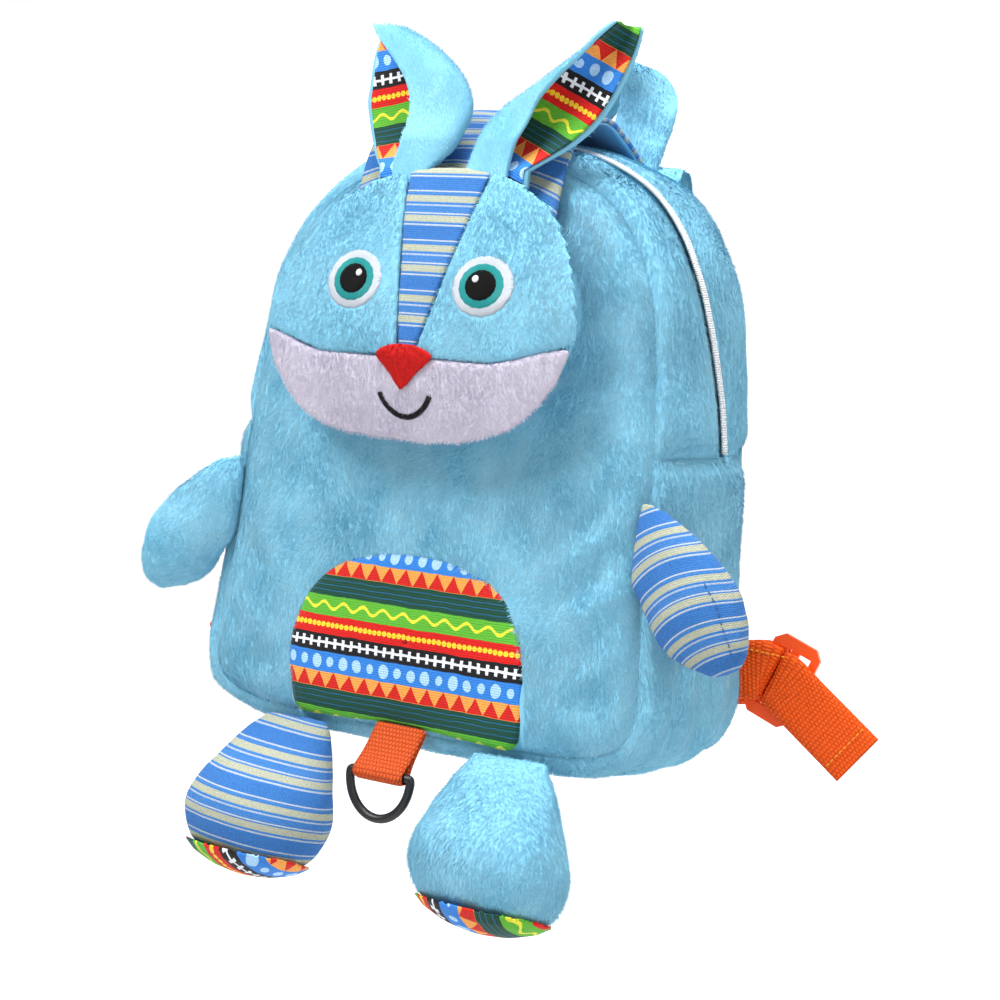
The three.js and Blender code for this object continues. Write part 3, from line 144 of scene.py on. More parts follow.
# The front panel: one piece of short-pile polyester plush, cut to the bag's arched outline and sewn inside out
# round its edge, so that the edge rolls back into the seam. The load inside swells its middle forward.
FRONT_HALF_WIDTH, FRONT_HEIGHT, FRONT_CROWN = 110.0, 262.0, 8.0
FRONT_Y, FRONT_LEAN = -46.0, 0.035
CLOTH = 2.0
# BARE_SHADE is the painted shade of the bare cloth under the pile, for the shadow between the fibres
PILE_LENGTH, PILE_WIDTH, BARE_SHADE = 2.8, 0.42, 0.42
SEAM_DEPTH, SEAM_REACH, LIP_HEIGHT, LIP_FROM_EDGE, LIP_REACH, LOAD_SWELL = 5.0, 4.4, 1.5, 12.0, 6.0, 1.5
PLUSH_LIGHT, PLUSH_DEEP = "#a8dff2", "#52a6c8"
OUTLINE = [  # shares of half width and of height, from the bottom's middle to the top's
    (0, 0), (0.5, 0.002), (0.73, 0.009), (0.89, 0.027), (0.965, 0.052), (1, 0.1), (0.998, 0.15), (0.98, 0.24),
    (0.965, 0.35), (0.958, 0.47), (0.93, 0.61), (0.882, 0.748), (0.828, 0.82), (0.764, 0.872), (0.68, 0.916),
    (0.575, 0.95), (0.42, 0.98), (0.21, 0.996), (0, 1),
]


def smooth_line(points, closed=False, steps=30):
    """A smooth curve through points, evenly spaced along its length."""
    p = np.asarray(points, float)
    if closed:
        p = np.vstack([p[-1], p, p[:2]])
    else:
        p = np.vstack([2 * p[0] - p[1], p, 2 * p[-1] - p[-2]])
    t = np.linspace(0, 1, steps, endpoint=False)[:, None]
    run = []
    for a, b, c, d in zip(p[:-3], p[1:-2], p[2:-1], p[3:]):
        da, db, dc = (max(np.linalg.norm(q - r) ** 0.5, 1e-6) for q, r in ((b, a), (c, b), (d, c)))
        m1 = ((b - a) / da - (c - a) / (da + db) + (c - b) / db) * db
        m2 = ((c - b) / db - (d - b) / (db + dc) + (d - c) / dc) * db
        run.append(b + m1 * t + (-3 * b + 3 * c - 2 * m1 - m2) * t ** 2 + (2 * b - 2 * c + m1 + m2) * t ** 3)
    run.append(p[-2][None])
    return np.vstack(run)


def along(line, share):
    """Points at shares of a line's length."""
    length = np.concatenate([[0], np.cumsum(np.linalg.norm(np.diff(line[:, :3], axis=0), axis=1))])
    length /= length[-1]
    return np.stack([np.interp(share, length, line[:, k]) for k in range(line.shape[1])], -1)


half = np.array(OUTLINE) * (1, 1.15)
bag_outline = smooth_line(np.vstack([half, (half[1:-1] * (-1, 1))[::-1]]), closed=True)


def outline_at(u):
    """Share of half width and of height at a share of the way round, from the bottom's middle to the right."""
    return along(bag_outline, np.mod(u, 1)) / (1, 1.15)


def outward_at(u):
    step = outline_at(u + 0.002) - outline_at(u - 0.002)
    way = np.stack([step[..., 1] * FRONT_HEIGHT, 0 * step[..., 0], -step[..., 0] * FRONT_HALF_WIDTH], -1)
    return way / np.linalg.norm(way, axis=-1, keepdims=True)


def half_width_at(z):
    rows = np.array(OUTLINE)
    return FRONT_HALF_WIDTH * np.interp(np.asarray(z) / FRONT_HEIGHT, rows[:, 1], rows[:, 0])


def front_y(x, z):
    side = np.minimum(1, np.abs(x) / np.maximum(1, half_width_at(z)))
    level = np.minimum(1, np.abs(2 * np.asarray(z) / FRONT_HEIGHT - 1))
    return FRONT_Y + FRONT_LEAN * z - FRONT_CROWN * (1 - side ** 2.6) * (1 - level ** 4)


def mottle(points, size, seed):
    """Soft random swells of about the given size, roughly from -1 to 1."""
    dice = np.random.default_rng(seed)
    total = 0
    for _ in range(7):
        way = dice.normal(size=3)
        way *= 2 * math.pi / (size * dice.uniform(0.7, 1.8) * np.linalg.norm(way))
        total = total + np.sin(points @ way + dice.uniform(0, 6.3))
    return total / 3.2


def grid_normals(grid, away_from):
    across = np.gradient(grid, axis=1)
    down = np.gradient(grid, axis=0)
    normals = np.cross(across, down)
    normals /= np.maximum(np.linalg.norm(normals, axis=-1, keepdims=True), 1e-9)
    if np.sum(normals * (grid - np.asarray(away_from, float))) < 0:
        normals = -normals
    return normals


def slab_faces(rows, cols):
    """The faces of a slab whose two sides are grids of points, and the triangles of its first side."""
    count = rows * cols
    index = np.arange(count).reshape(rows, cols)
    quads = np.stack([index[:-1, :-1], index[:-1, 1:], index[1:, 1:], index[1:, :-1]], -1).reshape(-1, 4)
    rim = np.concatenate([index[0, :-1], index[:-1, -1], index[-1, :0:-1], index[:0:-1, 0]])
    after = np.roll(rim, -1)
    walls = np.stack([rim, after, after + count, rim + count], -1)
    return np.vstack([quads, quads[:, ::-1] + count, walls]), np.vstack([quads[:, :3], quads[:, [0, 2, 3]]])


def cloth_from(grid, thick, away_from):
    """A thick cloth behind a grid of points: its points, its faces, and its outer side for the pile."""
    normals = grid_normals(grid, away_from)
    points = np.vstack([grid.reshape(-1, 3), (grid - normals * thick).reshape(-1, 3)])
    faces, triangles = slab_faces(*grid.shape[:2])
    return points, faces, (grid.reshape(-1, 3), normals.reshape(-1, 3), triangles)


def marked(mesh, flat):
    """Gives a mesh its places on the cloth and an even painted shade, for the shadow that bare cloth has under its
    pile.
    """
    cloth = mesh.attributes.new("cloth", "FLOAT_VECTOR", "POINT")
    cloth.data.foreach_set("vector", flat.astype(np.float32).ravel())
    shade = mesh.attributes.new("pile_shade", "FLOAT", "POINT")
    shade.data.foreach_set("value", np.full(len(flat), BARE_SHADE, np.float32))


def placed(name, mesh, material, body="bag"):
    """Puts a finished mesh into the scene on its body."""
    mesh.materials.clear()
    mesh.materials.append(material)
    piece = bpy.data.objects.new(name, mesh)
    bpy.context.scene.collection.objects.link(piece)
    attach(piece, body)
    return piece


def sew(name, points, faces, material, nodes=(), pattern=None, body="bag"):
    """A piece of the bag from points in millimetres. pattern is each point's place on its cloth, in millimetres."""
    mesh = bpy.data.meshes.new(name)
    mesh.from_pydata(in_frame(points).tolist(), [], [list(map(int, face)) for face in faces])
    flat = np.zeros((len(points), 3)) if pattern is None else np.asarray(pattern, float)
    if len(flat) < len(points):  # both sides of the cloth
        flat = np.vstack([flat, flat])
    marked(mesh, flat)
    work = bmesh.new()
    work.from_mesh(mesh)
    bmesh.ops.remove_doubles(work, verts=work.verts, dist=1e-7)
    bmesh.ops.recalc_face_normals(work, faces=work.faces)
    work.to_mesh(mesh)
    work.free()
    for polygon in mesh.polygons:
        polygon.use_smooth = True
    piece = placed(name, mesh, material, body)
    if nodes:
        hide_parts(*nodes)
    return piece


def pile(name, side, material, per_mm2, length=PILE_LENGTH, width=PILE_WIDTH, nap=(0, 0, -1), lift=0.34,
         keep=None, seed=1):
    """Short fibres, one thin triangle each, over the outer side of a plush piece. nap is the way they are brushed."""
    points, normals, triangles = side
    corners = points[triangles]
    areas = np.linalg.norm(np.cross(corners[:, 1] - corners[:, 0], corners[:, 2] - corners[:, 0]), axis=1) / 2
    dice = np.random.default_rng(seed)
    count = int(areas.sum() * per_mm2)
    chosen = dice.choice(len(areas), count, p=areas / areas.sum())
    a, b = dice.random(count), dice.random(count)
    flip = a + b > 1
    a[flip], b[flip] = 1 - a[flip], 1 - b[flip]
    weights = np.stack([1 - a - b, a, b], -1)[..., None]
    root = (points[triangles[chosen]] * weights).sum(1)
    out = (normals[triangles[chosen]] * weights).sum(1)
    out /= np.maximum(np.linalg.norm(out, axis=1, keepdims=True), 1e-9)
    if keep is not None:
        kept = keep(root)
        root, out = root[kept], out[kept]
        count = len(root)
    brushed = np.asarray(nap, float) + 0 * root
    brushed = brushed + 0.55 * np.stack([mottle(root, 55, seed + k) for k in (5, 6, 7)], -1)
    brushed = brushed + dice.normal(scale=0.22, size=root.shape)
    brushed -= out * np.sum(brushed * out, axis=1, keepdims=True)
    brushed /= np.maximum(np.linalg.norm(brushed, axis=1, keepdims=True), 1e-9)
    standing = lift + 0.14 * mottle(root, 40, seed + 9)[:, None] + dice.normal(scale=0.1, size=(count, 1))
    way = brushed + out * np.clip(standing, 0.12, 1.6)
    way /= np.linalg.norm(way, axis=1, keepdims=True)
    side_way = np.cross(out, way)
    side_way /= np.maximum(np.linalg.norm(side_way, axis=1, keepdims=True), 1e-9)
    long = length * dice.uniform(0.7, 1.15, size=(count, 1))
    wide = width * dice.uniform(0.7, 1.3, size=(count, 1)) / 2
    foot = root - out * 0.25
    vertices = np.stack([foot + side_way * wide, foot - side_way * wide, root + way * long], 1).reshape(-1, 3)
    # Painted light and shade in the pile's colour: soft lighter and darker patches for sheen and shade, a random tone
    # for each fibre, and each fibre painted darker at its root and lighter at its tip
    lit = 0.5 + 0.2 * mottle(root, 30, seed + 20) + 0.1 * mottle(root, 9, seed + 30)
    lit = lit + dice.normal(scale=0.13, size=count)
    shades = np.stack([lit - 0.18, lit - 0.18, lit + 0.2], 1).ravel()
    facing = out + way * 0.2
    facing /= np.linalg.norm(facing, axis=1, keepdims=True)
    mesh = bpy.data.meshes.new(name)
    mesh.vertices.add(3 * count)
    mesh.vertices.foreach_set("co", in_frame(vertices).astype(np.float32).ravel())
    mesh.loops.add(3 * count)
    mesh.loops.foreach_set("vertex_index", np.arange(3 * count, dtype=np.int32))
    mesh.polygons.add(count)
    mesh.polygons.foreach_set("loop_start", np.arange(0, 3 * count, 3, dtype=np.int32))
    mesh.polygons.foreach_set("use_smooth", np.ones(count, bool))
    mesh.update(calc_edges=True)
    mesh.normals_split_custom_set_from_vertices(np.repeat(facing, 3, axis=0).tolist())
    shade = mesh.attributes.new("pile_shade", "FLOAT", "POINT")
    shade.data.foreach_set("value", shades.astype(np.float32))
    return placed(name, mesh, material)


def mixed(tree, share, first, second):
    """A colour between two, of which the first is a hex code or a socket and the second a hex code."""
    mix = put(tree, "ShaderNodeMix", share, data_type="RGBA").node
    if isinstance(first, str):
        mix.inputs["A"].default_value = colour(first)
    else:
        tree.links.new(first, mix.inputs["A"])
    mix.inputs["B"].default_value = colour(second)
    return mix.outputs["Result"]


def plush(name, light, deep, sheen):
    """Brushed polyester plush: soft, without gloss, paler where the fibre tips face the eye. Its colour follows the
    pile's painted shade: darker at the roots and on the bare cloth, where shade falls between the fibres.
    """
    material, tree, shader = new_material(name, Roughness=0.85, Specular_IOR_Level=0.25, Sheen_Weight=sheen,
                                          Sheen_Roughness=0.4)
    shader.inputs["Sheen Tint"].default_value = colour(light)
    level = put(tree, "ShaderNodeAttribute", attribute_name="pile_shade").node.outputs["Fac"]
    tree.links.new(mixed(tree, level, deep, light), shader.inputs["Base Color"])
    return material


blue_plush = plush("brushed_polyester_plush_light_blue", PLUSH_LIGHT, PLUSH_DEEP, 0.25)


def panel_places(rows, columns, half_width, height):
    """Points over a panel of the bag's outline: x, z and how far each point is from the edge."""
    row = outline_at(np.linspace(0.004, 0.496, rows))
    spread = np.linspace(-1, 1, columns)
    spread = 0.55 * np.sin(spread * math.pi / 2) + 0.45 * spread
    x = row[:, :1] * half_width * spread[None]
    z = row[:, 1:] * height + 0 * x
    edge = outline_at(np.linspace(0, 1, 420)) * (half_width, height)
    return x, z, np.min(np.hypot(x[..., None] - edge[:, 0], z[..., None] - edge[:, 1]), axis=-1)


front_x, front_z, to_edge = panel_places(124, 93, FRONT_HALF_WIDTH, FRONT_HEIGHT)
front_grid = np.stack([front_x, front_y(front_x, front_z), front_z], -1)
beside_patch = np.clip((np.hypot(front_x / 68, front_z / 88) - 1) / 0.15, 0, 1)
seam_roll = SEAM_DEPTH * np.exp(-(to_edge / SEAM_REACH) ** 2)
lip = LIP_HEIGHT * beside_patch * np.exp(-((to_edge - LIP_FROM_EDGE) / LIP_REACH) ** 2)
front_grid[..., 1] += seam_roll - lip
inland = 1 - np.exp(-(to_edge / 14) ** 2)
front_grid[..., 1] -= inland * (LOAD_SWELL * mottle(front_grid, 85, 3) + 0.6 * mottle(front_grid, 32, 4))
FOLDS = [  # the soft folds that the load and the seams pull: from x and z, to x and z, half width, height, in mm
    (-8, 118, -14, 84, 4.5, 1.3), (10, 122, 14, 86, 4.0, 1.1), (30, 120, 40, 82, 5.0, 1.0),
    (102, 118, 66, 84, 5.5, 1.7), (104, 92, 70, 58, 5.5, 1.9), (104, 62, 76, 30, 5.0, 1.5), (60, 118, 52, 88, 5.0, 1.0),
    (-102, 96, -66, 62, 6.0, 1.7), (-104, 54, -70, 30, 5.5, 1.6), (-60, 120, -48, 92, 5.0, 1.0),
    (92, 176, 62, 140, 6.0, 1.4), (-92, 170, -64, 138, 6.0, 1.3), (40, 14, 92, 22, 4.5, 1.2), (-40, 12, -88, 18, 4.5, 1.1),
]
for x0, z0, x1, z1, fold_width, fold_height in FOLDS:
    reach = np.hypot(x1 - x0, z1 - z0)
    run = ((front_x - x0) * (x1 - x0) + (front_z - z0) * (z1 - z0)) / reach
    off = ((front_x - x0) * (z1 - z0) - (front_z - z0) * (x1 - x0)) / reach + 2.5 * np.sin(run / reach * math.pi)
    along_fold = np.exp(-((run - reach / 2) / (0.42 * reach)) ** 2)
    ridge = np.exp(-(off / fold_width) ** 2) - 0.7 * np.exp(-((off - 1.7 * fold_width) / fold_width) ** 2)
    front_grid[..., 1] -= beside_patch * inland * fold_height * along_fold * ridge
front_points, front_faces, front_side = cloth_from(front_grid, CLOTH, (0, 20, 130))
sew("front_panel_plush", front_points, front_faces, blue_plush, ("front_panel",))


def bare_front(root):
    """Away from what the belly patch and the head cover."""
    x, z = root[:, 0], root[:, 2]
    patch_half_width = 60 * np.sqrt(np.clip(1 - np.clip((z - 4) / 78, 0, 1) ** 2.6, 0, 1))
    patch = (np.abs(x) < patch_half_width) & (z < 80) & (z > 5)
    head = ((x + 3) / 68) ** 2 + ((z - 192) / 52) ** 2 < 1
    return ~(patch | head)


pile("front_panel_pile", front_side, blue_plush, 2.75, keep=bare_front, seed=11)


# The gusset: a long strip round the bag between the front and back panels. Its lower part is one piece of plush
# and its upper part two, with the zip sewn between them. It bulges out, and its seams pull in.
BACK_HALF_WIDTH, BACK_HEIGHT, BACK_Y = 118.5, 273.0, 44.0
GUSSET_BULGE, GAP, CROSS_SEAM_HEIGHT, ZIP_WIDTH = 8.0, 0.3, 135.0, 5.0
ZIP_PLACE = [(0.5, 0.62), (0.6, 0.56), (0.67, 0.49), (0.74, 0.42), (0.82, 0.37), (1, 0.34)]  # height, share across
GUSSET_SEAM_DEPTH, GUSSET_SEAM_REACH, CORNER_FOLDS, CORNER_FOLD_HEIGHT = 3.2, 4.2, 3.4, 1.9
GUSSET_DEPTH = BACK_Y - FRONT_Y - 2 * (CLOTH + GAP)


def gusset_at(u, t, lift=0.0):
    """A point round the gusset (u) and across it (t, 0 at the front seam)."""
    place = outline_at(u)
    w, h = place[..., 0], place[..., 1]
    front_seam_y = FRONT_Y + FRONT_LEAN * h * FRONT_HEIGHT + CLOTH + GAP
    front_edge = np.stack([w * FRONT_HALF_WIDTH, front_seam_y, h * FRONT_HEIGHT], -1)
    back_edge = np.stack([w * BACK_HALF_WIDTH, 0 * w + BACK_Y - CLOTH - GAP, h * BACK_HEIGHT], -1)
    t = np.asarray(t)[..., None]
    swell = GUSSET_BULGE * np.sqrt(np.clip(1 - (2 * t - 1) ** 2, 0, 1))
    return front_edge * (1 - t) + back_edge * t + outward_at(u) * (swell + np.asarray(lift)[..., None])


def zip_place(u):
    rows = np.array(ZIP_PLACE)
    return np.interp(outline_at(u)[..., 1], rows[:, 0], rows[:, 1])


fine = 4000
heights = outline_at(np.linspace(0, 0.5, fine))[:, 1] * FRONT_HEIGHT
cross_seam = 0.5 * np.searchsorted(heights, CROSS_SEAM_HEIGHT) / fine


def gusset_grid(start, end, low, high, count, across, seed):
    """A part of the gusset from start to end round the bag, between its two sides low and high."""
    u = np.linspace(start, end, count)[:, None]
    share = np.linspace(0, 1, across)[None]
    a, b = np.arccos(1 - 2 * low(u)), np.arccos(1 - 2 * high(u))
    t = (1 - np.cos(a + (b - a) * share)) / 2
    u = u + 0 * t
    flat = gusset_at(u, t)
    from_side = np.minimum(share, 1 - share) * GUSSET_DEPTH * (high(u) - low(u))
    from_end = np.minimum(u - start, end - u) * 900
    seam = np.exp(-(np.minimum(from_side, from_end) / GUSSET_SEAM_REACH) ** 2)
    lift = -GUSSET_SEAM_DEPTH * seam + (1 - seam) * (0.8 * mottle(flat, 60, seed) + 0.4 * mottle(flat, 24, seed + 1))
    # Where the strip turns the bag's lower corners it gathers into soft folds that run along it
    corner = np.exp(-((flat[..., 2] - 30) / 34) ** 2) * np.clip((np.abs(flat[..., 0]) - 50) / 30, 0, 1)
    folds = np.sin(2 * math.pi * CORNER_FOLDS * t + 1.2 * mottle(flat, 45, seed + 2))
    lift = lift + corner * (1 - seam) * CORNER_FOLD_HEIGHT * folds
    return gusset_at(u, t, lift)


clear = GAP / GUSSET_DEPTH
zip_half = ZIP_WIDTH / 2 / GUSSET_DEPTH
BAG_MIDDLE = (0, 0, 130)


def at_front_seam(u):
    return 0 * u


def at_back_seam(u):
    return 0 * u + 1


def before_zip(u):
    return zip_place(u) - zip_half - clear


def behind_zip(u):
    return zip_place(u) + zip_half + clear


GUSSET_PARTS = [  # name, solid, its start and end round the bag, its two sides, steps, steps across, seed, fibres, seed
    ("lower", "gusset_lower", -cross_seam, cross_seam, at_front_seam, at_back_seam, 200, 34, 31, 1.8, 12),
    ("front", "gusset_zip_front", cross_seam, 1 - cross_seam, at_front_seam, before_zip, 180, 17, 33, 1.9, 13),
    ("rear", "gusset_zip_rear", cross_seam, 1 - cross_seam, behind_zip, at_back_seam, 180, 20, 35, 1.75, 14),
]
for part, solid, start, end, low, high, steps, across, seed, per_mm2, pile_seed in GUSSET_PARTS:
    grid = gusset_grid(start, end, low, high, steps, across, seed)
    gusset_points, gusset_faces, gusset_side = cloth_from(grid, CLOTH, BAG_MIDDLE)
    sew(f"gusset_{part}_plush", gusset_points, gusset_faces, blue_plush, (solid,))
    pile(f"gusset_{part}_pile", gusset_side, blue_plush, per_mm2, seed=pile_seed)


# The zip: two white woven tapes and a nylon coil, sewn between the two upper parts of the gusset, and a painted
# slider with its tab, parked at the far end.
COIL_PITCH, ZIP_STEPS, TAPE_DEPTH, COIL_RISE = 1.4, 420, 1.3, 0.9


def maths(tree, operation, *inputs):
    return put(tree, "ShaderNodeMath", *inputs, operation=operation)


def on_cloth(tree):
    """The place on a piece's own cloth, in millimetres."""
    return put(tree, "ShaderNodeAttribute", attribute_name="cloth").node.outputs["Vector"]


def bumped(tree, shader, height, strength, distance=None):
    """Bumps a shader's surface by a height."""
    bump = put(tree, "ShaderNodeBump").node
    bump.inputs["Strength"].default_value = strength
    if distance is not None:
        bump.inputs["Distance"].default_value = distance
    tree.links.new(height, bump.inputs["Height"])
    tree.links.new(bump.outputs["Normal"], shader.inputs["Normal"])


def grained(name, scale, strength, distance=None, **sockets):
    """A hard material with the faint grain of its casting or mould."""
    material, tree, shader = new_material(name, **sockets)
    noise = put(tree, "ShaderNodeTexNoise").node
    noise.inputs["Scale"].default_value = scale
    bumped(tree, shader, noise.outputs["Fac"], strength, distance)
    return material


def cloth_places(across, down):
    """Each point's place on its cloth, in millimetres."""
    return np.stack(np.broadcast_arrays(across, down, 0.0), -1).reshape(-1, 3)


zip_u = np.linspace(cross_seam + 0.001, 1 - cross_seam - 0.001, ZIP_STEPS)[:, None]
zip_share = np.linspace(-1, 1, 7)[None]
zip_t = zip_place(zip_u) + zip_share * zip_half * 0.98
coil = COIL_RISE * np.exp(-(zip_share / 0.55) ** 2) * (1 + 0.35 * (-1.0) ** np.arange(ZIP_STEPS)[:, None])
zip_grid = gusset_at(zip_u + 0 * zip_t, zip_t, coil - TAPE_DEPTH)
zip_points, zip_faces, _ = cloth_from(zip_grid, 1.0, BAG_MIDDLE)
# White polyester tape with a coil of nylon monofilament
zip_tape, zip_tree, zip_shader = new_material("woven_polyester_zip_tape_and_nylon_coil", Base_Color=colour("#eceef2"),
                                              Roughness=0.55, Specular_IOR_Level=0.5)
zip_run = np.cumsum(np.full(ZIP_STEPS, 1.8))[:, None]
split = put(zip_tree, "ShaderNodeSeparateXYZ", on_cloth(zip_tree)).node
teeth = maths(zip_tree, "MULTIPLY", split.outputs["Y"], 2 * math.pi / COIL_PITCH)
teeth = maths(zip_tree, "SINE", teeth)
bumped(zip_tree, zip_shader, teeth, 0.6, 0.0006)
sew("zip_coil", zip_points, zip_faces, zip_tape, ("zipper",),
    pattern=cloth_places(zip_share * ZIP_WIDTH / 2, zip_run))

# The slider's paint: smooth enamel on a zinc casting
painted_zinc = grained("painted_zinc_casting", 900, 0.08, Base_Color=colour("#e4e6ea"), Roughness=0.3, Coat_Weight=0.3)
slider_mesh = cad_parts["zip_slider"].data
slider_mesh.materials.clear()
slider_mesh.materials.append(painted_zinc)


# The back panel: a second piece of the same plush, flatter because it lies on the child's back. It isn't seen from
# the front.
BACK_CROWN, BACK_SEAM_DEPTH = 3.0, 2.4

back_x, back_z, back_to_edge = panel_places(84, 65, BACK_HALF_WIDTH, BACK_HEIGHT)
back_grid = np.stack([back_x, BACK_Y + BACK_CROWN * (1 - np.exp(-(back_to_edge / 26) ** 2)), back_z], -1)
back_grid[..., 1] -= BACK_SEAM_DEPTH * np.exp(-(back_to_edge / 3.6) ** 2)
back_grid[..., 1] -= 0.5 * (1 + mottle(back_grid, 60, 8)) * (1 - np.exp(-(back_to_edge / 14) ** 2))
back_points, back_faces, back_side = cloth_from(back_grid, CLOTH, BAG_MIDDLE)
sew("back_panel_plush", back_points, back_faces, blue_plush, ("back_panel",))
pile("back_panel_pile", back_side, blue_plush, 0.75, length=2.6, seed=15)


# The belly patch: a half-round piece of printed cotton, sewn on with the plush's pile brushed over its edge. Its print
# is bands of simple figures that repeat every 51 mm.
PATCH_HALF_WIDTH, PATCH_HEIGHT, PATCH_FOOT, THIN_CLOTH = 62.0, 77.0, 4.5, 1.2
PATCH_AROUND, PATCH_RINGS = 120, 24
PRINT_REPEAT, PRINT_RIB, PATCH_PRINT_TOP = 51.0, 1.1, 84.3
PRINT_BANDS = [  # where each band starts in the repeat, in mm, and its ground colour
    (0.0, "#2f7fd6"), (9.0, "#f0a04a"), (16.2, "#0e4534"), (25.6, "#5cb030"), (34.5, "#d3120c"), (43.0, "#0b0b0e"),
]
PATCH_OUTLINE = [  # shares of half width and of height, from the bottom's middle to the top's
    (0, 0.02), (0.6, 0), (0.9, 0.01), (0.97, 0.16), (1, 0.38), (0.93, 0.62), (0.8, 0.78), (0.62, 0.9),
    (0.36, 0.975), (0, 1),
]


def banded(tree, share, bands, repeat):
    """Flat bands of colour over one repeat of a cloth."""
    dyed = put(tree, "ShaderNodeValToRGB", share)
    ramp = dyed.node.color_ramp
    ramp.interpolation = "CONSTANT"
    ramp.elements[0].color = colour(bands[0][1])
    ramp.elements[1].position = bands[1][0] / repeat
    ramp.elements[1].color = colour(bands[1][1])
    for start, code in bands[2:]:
        ramp.elements.new(start / repeat).color = colour(code)
    return dyed


def worn(tree, shader, cloth, dyed, scale, detail, darkest, lightest):
    """Gives a cloth its dyed colour, slightly uneven."""
    patchy = put(tree, "ShaderNodeTexNoise", cloth).node
    patchy.inputs["Scale"].default_value = scale
    patchy.inputs["Detail"].default_value = detail
    tone = put(tree, "ShaderNodeMapRange", patchy.outputs["Fac"], 0.3, 0.7, darkest, lightest)
    tree.links.new(put(tree, "ShaderNodeVectorMath", dyed, tone, operation="MULTIPLY"), shader.inputs["Base Color"])


def printed_cotton():
    """Pigment-printed woven cotton: matt, with a fine rib and slightly uneven colour."""
    material, tree, shader = new_material("pigment_printed_woven_cotton", Roughness=0.8, Specular_IOR_Level=0.3,
                                          Sheen_Weight=0.1)
    cloth = on_cloth(tree)
    wander = put(tree, "ShaderNodeTexNoise", cloth, noise_dimensions="3D").node
    wander.inputs["Scale"].default_value = 0.16
    wander.inputs["Detail"].default_value = 1
    shift = put(tree, "ShaderNodeVectorMath", wander.outputs["Color"], (0.5, 0.5, 0.5), operation="SUBTRACT")
    shift = put(tree, "ShaderNodeVectorMath", shift, (1.2, 1.0, 0), operation="MULTIPLY")
    printed = put(tree, "ShaderNodeVectorMath", cloth, shift, operation="ADD")
    split = put(tree, "ShaderNodeSeparateXYZ", printed).node
    across = split.outputs["X"]
    down = maths(tree, "FLOORED_MODULO", split.outputs["Y"], PRINT_REPEAT)
    share = maths(tree, "DIVIDE", down, PRINT_REPEAT)
    result = banded(tree, share, PRINT_BANDS, PRINT_REPEAT)

    def cell(width):
        share_across = maths(tree, "DIVIDE", across, width)
        return maths(tree, "SUBTRACT", maths(tree, "FRACT", share_across), 0.5)

    def level(middle, half_height):
        off = maths(tree, "SUBTRACT", down, middle)
        return maths(tree, "DIVIDE", off, half_height)

    def round_spot(x, y):
        square = maths(tree, "MULTIPLY", x, x)
        other = maths(tree, "MULTIPLY", y, y)
        total = maths(tree, "ADD", square, other)
        return maths(tree, "LESS_THAN", total, 1.0)

    # Pale blue dots of uneven size
    column = maths(tree, "FLOOR", maths(tree, "DIVIDE", across, 7.0))
    uneven = maths(tree, "SINE", maths(tree, "MULTIPLY", column, 2.4))
    size = maths(tree, "MULTIPLY_ADD", uneven, 0.06, 0.30)
    dot_x = maths(tree, "DIVIDE", cell(7.0), size)
    dot_y = maths(tree, "DIVIDE", level(4.5, 9.0), size)
    result = mixed(tree, round_spot(dot_x, dot_y), result, "#a9d2f6")
    # Red triangles that point up, on orange
    slope = maths(tree, "MULTIPLY", maths(tree, "ABSOLUTE", cell(8.0)), 2.0)
    depth = level(9.0, 7.2)
    inside = maths(tree, "LESS_THAN", slope, depth)
    in_band = maths(tree, "LESS_THAN", maths(tree, "ABSOLUTE", level(12.6, 3.6)), 1.0)
    result = mixed(tree, maths(tree, "MULTIPLY", inside, in_band), result, "#cf1b12")
    # Thin blue lines on dark green
    for middle in (18.4, 20.9, 23.4):
        line = maths(tree, "LESS_THAN", maths(tree, "ABSOLUTE", level(middle, 0.22)), 1.0)
        result = mixed(tree, line, result, "#1c5f86")
    # A yellow wave on light green
    wave = maths(tree, "SINE", maths(tree, "MULTIPLY", across, 2 * math.pi / 10.5))
    wave = maths(tree, "MULTIPLY_ADD", wave, 1.5, 30.0)
    wave = maths(tree, "ABSOLUTE", maths(tree, "SUBTRACT", down, wave))
    result = mixed(tree, maths(tree, "LESS_THAN", wave, 0.75), result, "#e6e13c")
    # A line of yellow beads on red
    bead_x = maths(tree, "DIVIDE", cell(2.5), 0.47)
    result = mixed(tree, round_spot(bead_x, level(38.8, 1.25)), result, "#f6cf2e")
    # A white bar with cross blocks on black
    bar = maths(tree, "LESS_THAN", maths(tree, "ABSOLUTE", level(46.9, 0.55)), 1.0)
    block = maths(tree, "LESS_THAN", maths(tree, "ABSOLUTE", cell(4.3)), 0.17)
    tall = maths(tree, "LESS_THAN", maths(tree, "ABSOLUTE", level(46.9, 2.3)), 1.0)
    block = maths(tree, "MULTIPLY", block, tall)
    result = mixed(tree, maths(tree, "MAXIMUM", bar, block), result, "#e9eef4")
    # The ink is a little uneven, and the cloth's rib is drawn coarser than real so that it shows
    worn(tree, shader, cloth, result, 1.3, 3, 0.84, 1.08)
    rib = maths(tree, "MULTIPLY", put(tree, "ShaderNodeSeparateXYZ", cloth).node.outputs["Y"], 2 * math.pi / PRINT_RIB)
    rib = maths(tree, "SINE", rib)
    bumped(tree, shader, rib, 0.35, 0.0003)
    return material


print_cloth = printed_cotton()


def polar_grid(outline, middle, shares):
    """Rings from a middle point out to a closed outline; the first column is repeated at the end."""
    ring = np.vstack([outline, outline[:1]])
    return middle + (ring - middle)[None] * np.asarray(shares)[:, None, None]


